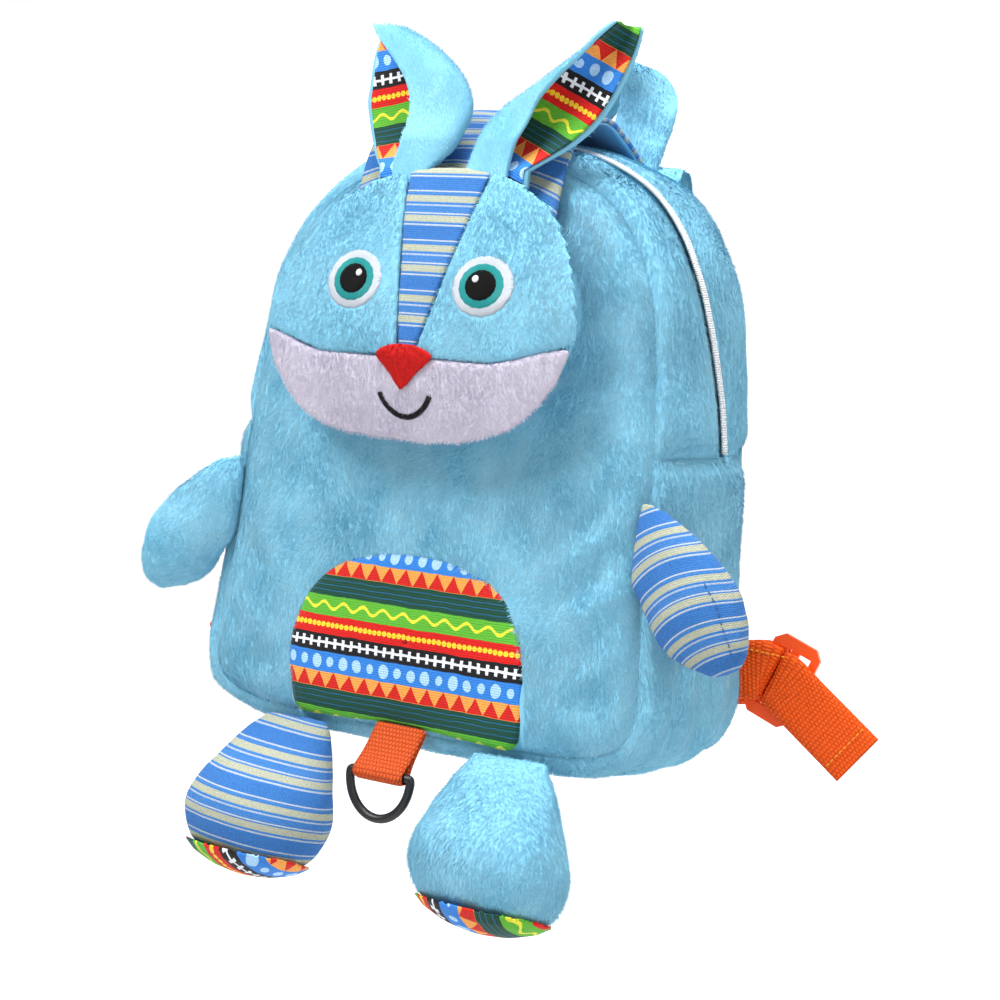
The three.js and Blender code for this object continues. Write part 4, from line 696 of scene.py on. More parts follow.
patch_half = np.array(PATCH_OUTLINE) * (PATCH_HALF_WIDTH, PATCH_HEIGHT)
patch_line = smooth_line(np.vstack([patch_half, (patch_half[1:-1] * (-1, 1))[::-1]]), closed=True)
patch_shares = np.linspace(0.01, 1, PATCH_RINGS)
patch_rim = along(patch_line, np.linspace(0, 1, PATCH_AROUND, endpoint=False))
patch_flat = polar_grid(patch_rim, np.array([0, PATCH_HEIGHT / 2]), patch_shares)
patch_z = patch_flat[..., 1] + PATCH_FOOT
drawn_in = 0.08 * (patch_flat[..., 0] > 0) * np.sin(math.pi * patch_flat[..., 1] / PATCH_HEIGHT)
patch_x = patch_flat[..., 0] * (1 - drawn_in)
patch_grid = np.stack([patch_x, front_y(patch_x, patch_z), patch_z], -1)
patch_swells = LOAD_SWELL * mottle(patch_grid, 85, 3) + 0.35 * mottle(patch_grid, 22, 6)
patch_grid[..., 1] -= 1.9 - 1.5 * patch_shares[:, None] ** 14 + patch_swells
patch_points, patch_faces, _ = cloth_from(patch_grid, THIN_CLOTH, (0, 20, 50))
sew("belly_patch_cloth", patch_points, patch_faces, print_cloth, ("belly_patch",),
    pattern=cloth_places(patch_x, PATCH_PRINT_TOP - patch_z))


# The head: a stuffed face of two plush cheeks, a striped knit wedge and a white plush muzzle, sewn edge to edge, on a
# plush back. Each panel swells between its seams. It hangs from the bag's crown by its top edge.
HEAD_X, HEAD_HEIGHT, EYE_X, EYE_Z = -3.0, 121.0, 31.5, 199.5
MUZZLE_LIGHT, MUZZLE_DEEP = "#e6e1ee", "#b9b3c8"
MOST_FILLED = 2.0
KNIT_REPEAT, KNIT_RIB, KNIT_LOOP = 22.0, 1.0, 1.1
KNIT_STRIPES = [  # where each stripe starts in the repeat, in mm, and its colour
    (0, "#bcc0aa"), (2.9, "#4885cc"), (4.0, "#b8c5d8"), (4.7, "#4885cc"), (7.6, "#b8c5d8"), (8.3, "#4885cc"),
    (8.9, "#bcc0aa"), (11.8, "#4885cc"), (12.8, "#b8c5d8"), (13.5, "#3f7cc6"), (19.6, "#b8c5d8"), (20.3, "#4885cc"),
]


def striped_knit():
    """Yarn-dyed cotton knit: blue with cream and thin white stripes that repeat every 22 mm, matt, finely ribbed."""
    material, tree, shader = new_material("yarn_dyed_cotton_knit", Roughness=0.9, Specular_IOR_Level=0.15,
                                          Sheen_Weight=0.05)
    cloth = on_cloth(tree)
    split = put(tree, "ShaderNodeSeparateXYZ", cloth).node
    share = maths(tree, "FRACT", maths(tree, "DIVIDE", split.outputs["Y"], KNIT_REPEAT))
    stripes = banded(tree, share, KNIT_STRIPES, KNIT_REPEAT)
    worn(tree, shader, cloth, stripes, 0.9, 4, 0.68, 0.9)
    # Knitted ribs about 1 mm apart with slanted loops between them
    wale = maths(tree, "MULTIPLY", split.outputs["Y"], 2 * math.pi / KNIT_RIB)
    slant = maths(tree, "MULTIPLY_ADD", split.outputs["X"], 2 * math.pi / KNIT_LOOP, wale)
    loops = maths(tree, "SINE", slant)
    ribs = maths(tree, "MULTIPLY_ADD", maths(tree, "SINE", wale), 0.8, loops)
    bumped(tree, shader, ribs, 0.4, 0.0003)
    return material


knit = striped_knit()
white_plush = plush("brushed_polyester_plush_white", MUZZLE_LIGHT, MUZZLE_DEEP, 0.2)


def settled(piece, held):
    """Fills a stuffed piece: cloth under a little pressure, held where it is sewn, that moves no point far."""
    group = piece.vertex_groups.new(name="sewn")
    group.add(held, 1.0, "REPLACE")
    start = np.array([v.co for v in piece.data.vertices])
    cloth = piece.modifiers.new("filling", "CLOTH")
    cloth.settings.use_pressure = True
    cloth.settings.uniform_pressure_force = 4
    cloth.settings.effector_weights.gravity = 0
    cloth.settings.vertex_group_mass = "sewn"
    for step in range(1, 21):
        bpy.context.scene.frame_set(step)
    filled = piece.evaluated_get(bpy.context.evaluated_depsgraph_get()).data
    moved = np.array([v.co for v in filled.vertices]) - start
    far = np.linalg.norm(moved, axis=1, keepdims=True)
    moved *= np.minimum(1, MOST_FILLED / 1000 / np.maximum(far, 1e-9))
    piece.modifiers.remove(cloth)
    piece.data.vertices.foreach_set("co", (start + moved).astype(np.float32).ravel())
    bpy.context.scene.frame_set(1)


def apply_modifiers(piece):
    piece.data = bpy.data.meshes.new_from_object(piece.evaluated_get(bpy.context.evaluated_depsgraph_get()))
    piece.modifiers.clear()


def stuffed(name, node, voxel, material, cloth_at, hold=None, relax=4, relief=0.0, seed=1, shape=None,
            finer=1):
    """A stuffed piece from the frame's own solid: skinned with even faces, filled, smoothed and lightly dented."""
    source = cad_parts[node]
    piece = bpy.data.objects.new(name, source.data.copy())
    bpy.context.scene.collection.objects.link(piece)
    skin = piece.modifiers.new("skin", "REMESH")
    skin.mode = "VOXEL"
    skin.voxel_size = voxel / 1000
    ease = piece.modifiers.new("ease", "SMOOTH")
    ease.factor = 0.5
    ease.iterations = relax
    apply_modifiers(piece)
    if hold is not None:
        co = np.array([v.co for v in piece.data.vertices]) * 1000 + HANG_POINT
        settled(piece, np.nonzero(hold(co))[0].tolist())
    split = piece.modifiers.new("split", "SUBSURF")
    split.levels = split.render_levels = finer
    apply_modifiers(piece)
    mesh = piece.data
    mesh.name = name
    co = np.empty(3 * len(mesh.vertices), np.float32)
    mesh.vertices.foreach_get("co", co)
    normals = np.empty(3 * len(mesh.vertices), np.float32)
    mesh.vertices.foreach_get("normal", normals)
    points = co.reshape(-1, 3) * 1000 + HANG_POINT
    normals = normals.reshape(-1, 3).astype(float)
    if shape is not None:
        points = shape(points)
        mesh.vertices.foreach_set("co", in_frame(points).astype(np.float32).ravel())
    if relief:
        dents = relief * (0.7 * mottle(points, 26, seed) + 0.3 * mottle(points, 10, seed + 1))
        points = points + normals * dents[:, None]
        mesh.vertices.foreach_set("co", in_frame(points).astype(np.float32).ravel())
    marked(mesh, cloth_at(points))
    mesh.materials.clear()
    mesh.materials.append(material)
    for polygon in mesh.polygons:
        polygon.use_smooth = True
    mesh.calc_loop_triangles()
    triangles = np.empty(3 * len(mesh.loop_triangles), np.int32)
    mesh.loop_triangles.foreach_get("vertices", triangles)
    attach(piece, "bag")
    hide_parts(node)
    return piece, (points, normals, triangles.reshape(-1, 3))


def facing_out(points):
    """The cloth's places on a piece that was cut to face the front."""
    return cloth_places(points[:, 0], 260 - points[:, 2])


def outside_of_face(points):
    """Away from the eyes and from the inside of the head."""
    clear_of_eyes = np.hypot(np.abs(points[:, 0]) - EYE_X, points[:, 2] - EYE_Z) > 13.2
    return clear_of_eyes & (points[:, 1] < -66 + 8 * np.clip((points[:, 2] - 180) / 72, 0, 1))


def outside_of_back(points):
    """Away from what the face covers."""
    return (points[:, 1] > -65) | (np.hypot((points[:, 0] + 3) / 75, (points[:, 2] - 190) / 60) > 0.97)


FACE_PANELS = [  # name, cloth, slot, the skin's mesh width in mm, the seed of its pile if it has one
    ("head_cheek_left", blue_plush, "plush", 1.0, 42),
    ("head_cheek_right", blue_plush, "plush", 1.0, 43),
    ("head_forehead", knit, "striped_knit", 1.0, None),
    ("head_muzzle", white_plush, "white_plush", 1.0, 44),
    ("head_back", blue_plush, "plush", 1.9, None),
]
face_sides = {}
for panel, finish, slot_name, voxel, pile_seed in FACE_PANELS:
    face_sides[panel] = stuffed(panel + "_skin", panel, voxel, finish, facing_out,
                                relax=18, relief=0.35, seed=41, finer=0)
    if pile_seed:
        pile(panel + "_pile", face_sides[panel][1], finish, 3.0, length=2.0, width=0.38, lift=0.4,
             keep=outside_of_face, seed=pile_seed)
pile("head_back_pile", face_sides["head_back"][1], blue_plush, 0.9, length=1.5, lift=0.25,
     keep=outside_of_back, seed=45)


# The eyes and the mouth: satin-stitch embroidery, dense glossy threads laid side by side and slightly raised. The
# nose is a small stuffed triangle of red felt, sewn down over the meeting of the seams.
EYE_PARTS = [  # name, half width, half height, height over the face, colour, x towards the nose, z
    ("white_ring", 14.0, 13.0, 0.9, "#d3dae4", 0.0, 0.0),
    ("teal_ring", 11.4, 10.7, 1.4, "#2a9c9c", 0.2, 0.0),
    ("pupil", 8.4, 7.9, 1.8, "#050507", 0.3, 0.2),
    ("glint", 1.9, 1.9, 2.2, "#f4f6fa", 2.9, 2.8),
]
THREAD = 0.55
MOUTH_X, MOUTH_TOP_Z, MOUTH_HALF_WIDTH, MOUTH_DROP, MOUTH_LINE_WIDTH = 0.8, 151.5, 12.25, 9.5, 2.5
MOUTH_LENGTH, MOUTH_STEPS = 34.0, 90

skins = []
for panel, (piece, _) in face_sides.items():
    if panel != "head_back":
        corners, polygons = [v.co for v in piece.data.vertices], [p.vertices for p in piece.data.polygons]
        skins.append(BVHTree.FromPolygons(corners, polygons))


def face_y(x, z):
    """Where the stuffed face lies at x and z, in millimetres."""
    places = []
    for one_x, one_z in zip(np.ravel(x), np.ravel(z)):
        start = Vector(in_frame((one_x, -110, one_z)))
        hits = [tree.ray_cast(start, Vector((0, 1, 0)))[0] for tree in skins]
        hits = [h.y * 1000 + HANG_POINT[1] for h in hits if h is not None]
        places.append(min(hits) if hits else -62.0)
    return np.reshape(places, np.shape(x))


def embroidery(name, code):
    """Rayon satin stitch: threads half a millimetre apart, drawn a little coarse so that they show."""
    material, tree, shader = new_material(name, Base_Color=colour(code), Roughness=0.5, Specular_IOR_Level=0.22)
    cloth = on_cloth(tree)
    lay = put(tree, "ShaderNodeSeparateXYZ", cloth).node.outputs["X"]
    thread = maths(tree, "SINE", maths(tree, "MULTIPLY", lay, 2 * math.pi / THREAD))
    bumped(tree, shader, thread, 0.7, 0.0004)
    return material


threads = {part: embroidery("satin_stitch_" + part, code) for part, _, _, _, code, _, _ in EYE_PARTS}
turn = np.linspace(0, 2 * math.pi, 72, endpoint=False)
eye_shares = np.linspace(0.01, 1, 12)
for side_name, side in (("left", -1), ("right", 1)):
    for part, wide, high, raised, _, inward, rise in EYE_PARTS:
        rim = np.stack([wide * np.cos(turn), high * np.sin(turn)], -1)
        rim = rim * (1 + 0.012 * np.sin(17 * turn + side))[:, None]
        flat = polar_grid(rim, np.array([0.0, 0.0]), eye_shares)
        ex = side * EYE_X - side * inward + flat[..., 0]
        ez = EYE_Z + rise + flat[..., 1]
        dome = raised * (1 - eye_shares[:, None] ** 8)
        grid = np.stack([ex, face_y(ex, ez) - dome - 0.15, ez], -1)
        eye_points, eye_faces, _ = cloth_from(grid, 0.5, (0, 0, 190))
        lay = flat[..., 0]
        if part.endswith("ring"):  # its threads run out from the middle
            lay = np.abs(np.arctan2(flat[..., 1], flat[..., 0])) * wide
        sew(f"eye_{side_name}_{part}", eye_points, eye_faces, threads[part],
            (f"eye_{side_name}",) if part == "white_ring" else (), pattern=cloth_places(lay, flat[..., 1]))

red_felt = plush("brushed_red_felt", "#ee2a24", "#b00f10", 0.15)
_, nose_side = stuffed("nose_felt", "nose", 0.8, red_felt, facing_out, relax=3)
pile("nose_pile", nose_side, red_felt, 8, length=1.1, width=0.3, lift=0.4,
     keep=lambda points: points[:, 1] < -76, seed=51)

mouth_share = np.linspace(-1, 1, MOUTH_STEPS)
mouth_fall = MOUTH_DROP * (1 - mouth_share ** 2) ** 0.75
mouth_line = np.stack([MOUTH_X + MOUTH_HALF_WIDTH * mouth_share, MOUTH_TOP_Z - mouth_fall], -1)
mouth_line = along(mouth_line, np.linspace(0, 1, MOUTH_STEPS))
mouth_run = np.gradient(mouth_line, axis=0)
mouth_run /= np.linalg.norm(mouth_run, axis=1, keepdims=True)
mouth_over = np.stack([-mouth_run[:, 1], mouth_run[:, 0]], -1)
across_mouth = np.linspace(-1, 1, 9)
mouth_flat = mouth_line[:, None] + mouth_over[:, None] * (across_mouth * MOUTH_LINE_WIDTH / 2)[None, :, None]
uneven_pull = 1 + 0.15 * np.sin(np.arange(MOUTH_STEPS) * 2.4)
mouth_raise = 0.9 * np.sqrt(1 - (across_mouth * 0.97) ** 2)[None] * uneven_pull[:, None]
mouth_x, mouth_z = mouth_flat[..., 0], mouth_flat[..., 1]
mouth_grid = np.stack([mouth_x, face_y(mouth_x, mouth_z) - mouth_raise, mouth_z], -1)
mouth_points, mouth_faces, _ = cloth_from(mouth_grid, 0.5, (0, 0, 150))
sew("mouth_stitching", mouth_points, mouth_faces, embroidery("satin_stitch_black", "#101014"),
    ("mouth",), pattern=cloth_places(np.linspace(0, MOUTH_LENGTH, MOUTH_STEPS)[:, None], across_mouth))


# The crown flap: the striped knit, lined with smooth blue cotton, from the head's top seam over the bag to its back
# seam. It arches free of the bag like a short tunnel.
FLAP_HALF_WIDTH, FLAP_LENGTH, FLAP_ROWS, FLAP_COLUMNS = 50.0, 128.0, 60, 44
FLAP_FRONT_Y, FLAP_FRONT_Z, FLAP_REAR_Y, FLAP_TOP_Z, FLAP_REAR_RISE = -53.5, 249.0, 42.0, 288.0, 4.0
# Shares of the way from front to rear and of the rise to the arch's top
FLAP_LINE = [(0, 0), (0.1, 0.38), (0.2, 0.62), (0.38, 0.92), (0.55, 1), (0.72, 0.86), (0.88, 0.5), (1, 0)]

flap_marks = []
for share, rise in FLAP_LINE:
    foot_z = FLAP_FRONT_Z if share < 0.5 else BACK_HEIGHT + FLAP_REAR_RISE
    flap_marks.append((FLAP_FRONT_Y + share * (FLAP_REAR_Y - FLAP_FRONT_Y), foot_z * (1 - rise) + FLAP_TOP_Z * rise))
flap_line = smooth_line(flap_marks)


def back_seam_drop(x):
    high = np.array([row for row in OUTLINE if row[1] > 0.6])[::-1]
    return BACK_HEIGHT * (1 - np.interp(np.abs(x) / BACK_HALF_WIDTH, high[:, 0], high[:, 1]))


def head_top_drop(x):
    high = np.array([(0, 1), (0.3, 0.98), (0.53, 0.93), (0.68, 0.87), (0.785, 0.785)])
    return HEAD_HEIGHT * (1 - np.interp(np.abs(x - HEAD_X) / 77, high[:, 0], high[:, 1]))


def flap_grid(half_width, below):
    """The crown flap, below mm under its outer face."""
    s = np.linspace(0, 1, FLAP_ROWS)[:, None]
    x = np.linspace(-half_width, half_width, FLAP_COLUMNS)[None]
    line = along(flap_line, s[:, 0])
    run = np.gradient(line, axis=0)
    run /= np.linalg.norm(run, axis=1, keepdims=True)
    rise = np.clip((s - 0.5) / 0.5, 0, 1)
    drop = back_seam_drop(x) * (3 * rise ** 2 - 2 * rise ** 3) + 0.0016 * x ** 2 * np.sin(math.pi * s)
    y = line[:, :1] + run[:, 1:] * below + 0 * x
    z = line[:, 1:] - run[:, :1] * below - drop
    x = x + 0 * y
    grid = np.stack([x, y, z], -1)
    front = np.clip(1 - s / 0.3, 0, 1) ** 2
    grid[..., 2] -= front * (head_top_drop(grid[..., 0]) + 5)
    grid[..., 1] += front * 3
    fold = np.sin(math.pi * s) * (0.8 * mottle(grid, 38, 61) + 0.35 * mottle(grid, 15, 62))
    grid[..., 2] += fold
    return grid


flap = flap_grid(FLAP_HALF_WIDTH, 0)
flap_points, flap_faces, _ = cloth_from(flap, 1.8, (0, 0, 230))
flap_run = np.linspace(0, FLAP_LENGTH, FLAP_ROWS)[:, None]
flap_piece = sew("crown_flap_knit", flap_points, flap_faces, knit, ("crown_flap",),
                 pattern=cloth_places(flap[..., 0], flap_run))

# Smooth plain-woven cotton, faintly uneven in its blue
lining_cloth, lining_tree, lining_shader = new_material("smooth_woven_cotton_lining", Roughness=0.6, Sheen_Weight=0.2)
lining_noise = put(lining_tree, "ShaderNodeTexNoise", on_cloth(lining_tree)).node
lining_noise.inputs["Scale"].default_value = 0.5
lining_tone = mixed(lining_tree, lining_noise.outputs["Fac"], "#4f9bd0", "#6cb4e2")
lining_tree.links.new(lining_tone, lining_shader.inputs["Base Color"])
lining = flap_grid(FLAP_HALF_WIDTH - 1, 2.2)
lining_points, lining_faces, _ = cloth_from(lining, 0.9, (0, 0, 230))
lining_piece = sew("crown_flap_lining", lining_points, lining_faces, lining_cloth, ("crown_lining",),
                   pattern=cloth_places(lining[..., 0], flap_run))


# The ears: each a long leaf of plush outside and printed cotton inside, folded lengthwise and sewn shut at its root.
# The fold is on the side towards the bag's middle, and the free edges open outwards.
EAR_ROOT_Z, EAR_TALL, EAR_Y, EAR_ROOT_FORWARD, EAR_OPENING, EAR_SPREAD = 251.0, 64.0, -49.0, 8.0, 7.0, 80.0
EARS = {  # height, fold, near edge, far edge, as shares
    "left": (1, [(0, -0.113, -0.325, -0.44), (0.12, -0.038, -0.295, -0.525), (0.28, 0.013, -0.275, -0.6), (0.48, 0.031, -0.285, -0.65),
                 (0.62, -0.025, -0.335, -0.645), (0.76, -0.138, -0.42, -0.64), (0.88, -0.263, -0.513, -0.625), (0.98, -0.438, -0.569, -0.588)]),
    "right": (-1, [(0, 0.138, 0.375, 0.475), (0.14, 0.15, 0.4, 0.613), (0.3, 0.194, 0.45, 0.75), (0.46, 0.325, 0.5, 0.844),
                   (0.62, 0.513, 0.606, 0.906), (0.78, 0.7, 0.738, 0.956), (0.9, 0.813, 0.831, 0.981), (0.98, 0.9, 0.906, 0.988)]),
}


def ear_grid(rows, side, offset, start=0.0, end=1.0, tall=46, wide=40):
    line = smooth_line([(h, f, n, r) for h, f, n, r in rows])
    heights = np.linspace(-0.12, 0.98, tall)
    order = np.argsort(line[:, 0])
    fold, near, far = (np.interp(heights, line[order, 0], line[order, k]) * EAR_SPREAD for k in (1, 2, 3))
    grid = []
    for h, f, n, r in zip(heights, fold, near, far):
        z = EAR_ROOT_Z + h * EAR_TALL
        y = EAR_Y - EAR_ROOT_FORWARD * min(1, max(0, 1 - h / 0.4)) ** 1.5
        opening = EAR_OPENING * (0.15 + 0.85 * min(1, max(0, h / 0.2)))
        section = smooth_line([
            (n, y - opening), (n + (f - n) * 0.75, y - opening * 0.72), (f, y),
            (r + (f - r) * 0.75 - side * 1.5, y + opening * 0.5), (r, y + opening * 0.6)])
        p = along(section, np.linspace(start, end, wide))
        run = np.gradient(p, axis=0)
        out = np.stack([run[:, 1], -run[:, 0]], -1) * side
        out /= np.maximum(np.linalg.norm(out, axis=1, keepdims=True), 1e-9)
        p = p + out * offset
        grid.append(np.column_stack([p, np.full(wide, z)]))
    return np.array(grid)


for side_name, (side, rows) in EARS.items():
    outer = ear_grid(rows, side, 2.3)
    inner = ear_grid(rows, side, 0.0)
    ear_faces, ear_triangles = slab_faces(*outer.shape[:2])
    crease = (0.5 * mottle(outer, 22, 71) + 0.25 * mottle(outer, 9, 72))[..., None] * (outer - inner) / 2.3
    outer = outer + crease
    ear_points = np.vstack([outer.reshape(-1, 3), inner.reshape(-1, 3)])
    sew(f"ear_{side_name}_plush_leaf", ear_points, ear_faces, blue_plush, (f"ear_{side_name}_plush",))
    out = (outer - inner)
    out /= np.linalg.norm(out, axis=-1, keepdims=True)
    pile(f"ear_{side_name}_pile", (outer.reshape(-1, 3), out.reshape(-1, 3), ear_triangles), blue_plush,
         3.4, length=1.9, width=0.38, nap=(0, 0, 1), lift=0.35, seed=73)
    print_outer = ear_grid(rows, side, -0.3, 0.03, 0.97)
    print_inner = ear_grid(rows, side, -1.3, 0.03, 0.97)
    print_points = np.vstack([print_outer.reshape(-1, 3), print_inner.reshape(-1, 3)])
    middle_line = (np.array([r[2] for r in rows]) + np.array([r[3] for r in rows])) / 2 * EAR_SPREAD
    lean = (middle_line[-1] - middle_line[0]) / EAR_TALL * 0.75
    length_along = (print_points[:, 2] - EAR_ROOT_Z + lean * (print_points[:, 0] - middle_line[0])) / math.hypot(1, lean)
    across_ear = (print_points[:, 0] - middle_line[0] - lean * (print_points[:, 2] - EAR_ROOT_Z)) / math.hypot(1, lean)
    ear_pattern = np.stack([across_ear, length_along + 4.0, 0 * across_ear], -1)
    sew(f"ear_{side_name}_print_leaf", print_points, ear_faces, print_cloth, (f"ear_{side_name}_print",), pattern=ear_pattern)


# The arms: two stuffed mitts sewn into the front panel's side seams. The left one is plush, the right one striped
# knit with its seam along the outer edge and puckered stitches at the tip.
ARM_ROOT = {"left": (-101.0, -45.0, 100.0), "right": (101.0, -45.0, 100.0)}
ARM_ANGLE, ARM_STRIPES = math.radians(44), math.radians(54)


def arm_cloth(points):
    root = np.array(ARM_ROOT["right"])
    run = (points - root) @ np.array([math.cos(ARM_STRIPES), 0.1, -math.sin(ARM_STRIPES)])
    over = (points - root) @ np.array([math.sin(ARM_STRIPES), 0, math.cos(ARM_STRIPES)])
    return cloth_places(over, run - 0.013 * (over - 4) ** 2)


def near_bag(points):
    return np.abs(points[:, 0]) < half_width_at(np.clip(points[:, 2], 0, 262)) + 4


def into_seam(points):
    """Draws the arm's root into the side seam."""
    near = np.clip((113 - np.abs(points[:, 0])) / 8, 0, 1)
    return points - np.stack([np.sign(points[:, 0]) * 6 * near, 0 * near, 0 * near], -1)


_, arm_left_side = stuffed("arm_left_mitt", "arm_left", 3.2, blue_plush, facing_out, hold=near_bag,
                           relief=0.6, seed=81, shape=into_seam)
pile("arm_left_pile", arm_left_side, blue_plush, 2.6, length=2.6, nap=(-0.6, 0, -0.8),
     keep=lambda points: points[:, 0] < -101, seed=82)
_, arm_right_side = stuffed("arm_right_mitt", "arm_right", 3.2, knit, arm_cloth, hold=near_bag,
                            relief=0.4, seed=83, shape=into_seam)


def stitches(name, line, out, pitch, material, wire=0.35):
    """A row of short slanting stitches along a line; out is the way the cloth faces."""
    points, faces = [], []
    length = np.linalg.norm(np.diff(line, axis=0), axis=1).sum()
    count = max(2, int(length / pitch))
    marks = along(np.asarray(line, float), (np.arange(count) + 0.1) / count)
    ends = along(np.asarray(line, float), (np.arange(count) + 0.85) / count)
    out = np.asarray(out, float) / np.linalg.norm(out)
    for start, end in zip(marks, ends):
        run = (end - start) / np.linalg.norm(end - start)
        over = np.cross(run, out)
        first = len(points)
        for s, size in ((0, 0.3), (0.2, 0.9), (0.5, 1.0), (0.8, 0.9), (1, 0.3)):
            middle = start + (end - start) * s + out * (0.25 * math.sin(math.pi * s) + 0.1)
            for a in np.linspace(0, 2 * math.pi, 6, endpoint=False):
                points.append(middle + (over * math.cos(a) + out * math.sin(a)) * wire * size)
        for r in range(4):
            for j in range(6):
                k = (j + 1) % 6
                faces.append((first + r * 6 + j, first + r * 6 + k, first + (r + 1) * 6 + k, first + (r + 1) * 6 + j))
        faces += [(first + 5 - 0, first + 4, first + 3, first + 2, first + 1, first), tuple(first + 24 + j for j in range(6))]
    return sew(name, np.array(points), faces, material)


arm_points = arm_right_side[0]
arm_place = arm_cloth(arm_points)
arm_seam = []
for run in np.linspace(24, 62, 9):
    near = np.abs(arm_place[:, 1] - run) < 2.5
    reach = arm_place[near, 0].max()
    shown = near & (arm_points[:, 1] < ARM_ROOT["right"][1])
    arm_seam.append(arm_points[shown][np.argmin(np.abs(arm_place[shown, 0] - 0.72 * reach))])
seam_thread, _, _ = new_material("spun_polyester_thread_dark_blue", Base_Color=colour("#2b5c99"), Roughness=0.7)
stitches("arm_right_seam_stitches", smooth_line(arm_seam), (0.3, -1, 0), 3.0, seam_thread, wire=0.28)


# The legs: stuffed cones with a seam down each side, sewn into the bottom seam and closed by an oval sole of printed
# cotton. The left one is striped knit, the right one plush.
LEG_LENGTH, LEG_X, LEG_FOOT_X, LEG_TOP_Z, SOLE_TILT = 63.0, 55.0, 60.0, 1.5, math.radians(20)


def leg_cloth(points):
    x = points[:, 0] + LEG_FOOT_X
    y = points[:, 1] + 62
    down = -points[:, 2]
    return cloth_places(x + 0.6 * y, down - 0.14 * y - 0.06 * x + 10)


def leg_top(points):
    return points[:, 2] > -3


def rounded_foot(side, dome):
    """Draws the foot in at its sole seam and domes the sole."""
    def shape(points):
        foot = np.array([side * LEG_FOOT_X, -70.0, LEG_TOP_Z - math.sqrt(LEG_LENGTH ** 2 - 24 ** 2)])
        down_way = np.array([0, -math.sin(SOLE_TILT), -math.cos(SOLE_TILT)])
        depth = (points - foot) @ down_way
        axis = foot + depth[:, None] * down_way
        out = points - axis
        near_seam = np.clip((depth + 20) / 20, 0, 1)
        radius = np.linalg.norm(out, axis=1)
        middle = np.clip(1 - (radius / 34) ** 2, 0, 1)
        return axis + out * (1 - 0.13 * near_seam ** 1.6)[:, None] + down_way * (dome * middle * (depth > -4))[:, None]
    return shape


stuffed("leg_left_cone", "leg_left", 3.6, knit, leg_cloth, hold=leg_top, relief=0.7, seed=91,
        shape=rounded_foot(-1, 0))
_, leg_right_side = stuffed("leg_right_cone", "leg_right", 3.6, blue_plush, facing_out, hold=leg_top,
                            relief=0.7, seed=92, shape=rounded_foot(1, 0))


def above_sole(points):
    foot = np.array([0, -70.0, -56.8])
    return (points - foot) @ np.array([0, -math.sin(SOLE_TILT), -math.cos(SOLE_TILT)]) < 1.2


pile("leg_right_pile", leg_right_side, blue_plush, 2.3, length=2.7, keep=above_sole, seed=93)


def sole_cloth(side):
    def place(points):
        x = points[:, 0] - side * LEG_FOOT_X
        y = points[:, 1] + 70
        lean = math.radians(24 if side < 0 else 12)
        start = 35 if side < 0 else 57
        return cloth_places(y * math.cos(lean) + x * math.sin(lean), x * math.cos(lean) - y * math.sin(lean) + start)
    return place


for side_name, side in (("left", -1), ("right", 1)):
    stuffed(f"sole_{side_name}_cloth", f"sole_{side_name}", 1.0, print_cloth, sole_cloth(side),
            relax=1, shape=rounded_foot(side, 4), finer=0)


# The grab handle: a doubled band of plush, sewn to the top of the back panel at both ends. It leans to the right.
HANDLE_WIDTH, HANDLE_THICK, HANDLE_RISE, HANDLE_REACH = 28.0, 4.0, 49.0, 44.0
HANDLE_ROWS = [  # across, back and up, in shares of reach, mm and shares of rise; then the way its width points
    ((-0.68, 0.5, -0.18), (0.75, 0, -0.5)), ((-0.32, 3, 0.16), (0.65, 0.2, -0.65)), ((0.18, 5, 0.51), (0.5, 0.7, -0.4)),
    ((0.55, 6, 0.82), (0.35, 0.9, -0.2)), ((0.82, 6, 0.96), (0.3, 0.95, 0)), ((0.98, 6, 0.8), (0.55, 0.8, 0)),
    ((1, 4, 0.55), (0.9, 0.35, 0)), ((0.95, 2, 0.24), (1, 0.1, 0)), ((0.86, 0, -0.2), (1, 0, 0.1)),
]


def band(line, ways, width, thick, steps, wide, round_edge=12):
    """A flat band along a line. Gives points, faces, cloth places and its two outer sides."""
    share = np.linspace(0, 1, steps)
    both = along(smooth_line(np.hstack([line, ways])), share)
    points, across = both[:, :3], both[:, 3:]
    run = np.gradient(points, axis=0)
    run /= np.linalg.norm(run, axis=1, keepdims=True)
    across -= run * np.sum(across * run, axis=1, keepdims=True)
    across /= np.linalg.norm(across, axis=1, keepdims=True)
    normal = np.cross(run, across)
    length = np.concatenate([[0], np.cumsum(np.linalg.norm(np.diff(points, axis=0), axis=1))])
    s = np.linspace(-1, 1, wide)
    body = np.sqrt(np.clip(1 - np.abs(s) ** round_edge, 0, 1)) * 0.94 + 0.06
    middle = points[:, None] + across[:, None] * (s * width / 2)[None, :, None]
    raised = normal[:, None] * (thick / 2 * body)[None, :, None]
    points = np.vstack([(middle + raised).reshape(-1, 3), (middle - raised).reshape(-1, 3)])
    normals = np.vstack([np.repeat(normal, wide, axis=0), np.repeat(-normal, wide, axis=0)])
    faces, triangles = slab_faces(steps, wide)
    both_sides = np.vstack([triangles, triangles + steps * wide])
    return points, faces, cloth_places(s * width / 2, length[:, None]), (points, normals, both_sides)


def handle_at(across, behind, up):
    return across * HANDLE_REACH, BACK_Y + HANDLE_THICK / 2 + 1 + behind, BACK_HEIGHT + up * HANDLE_RISE


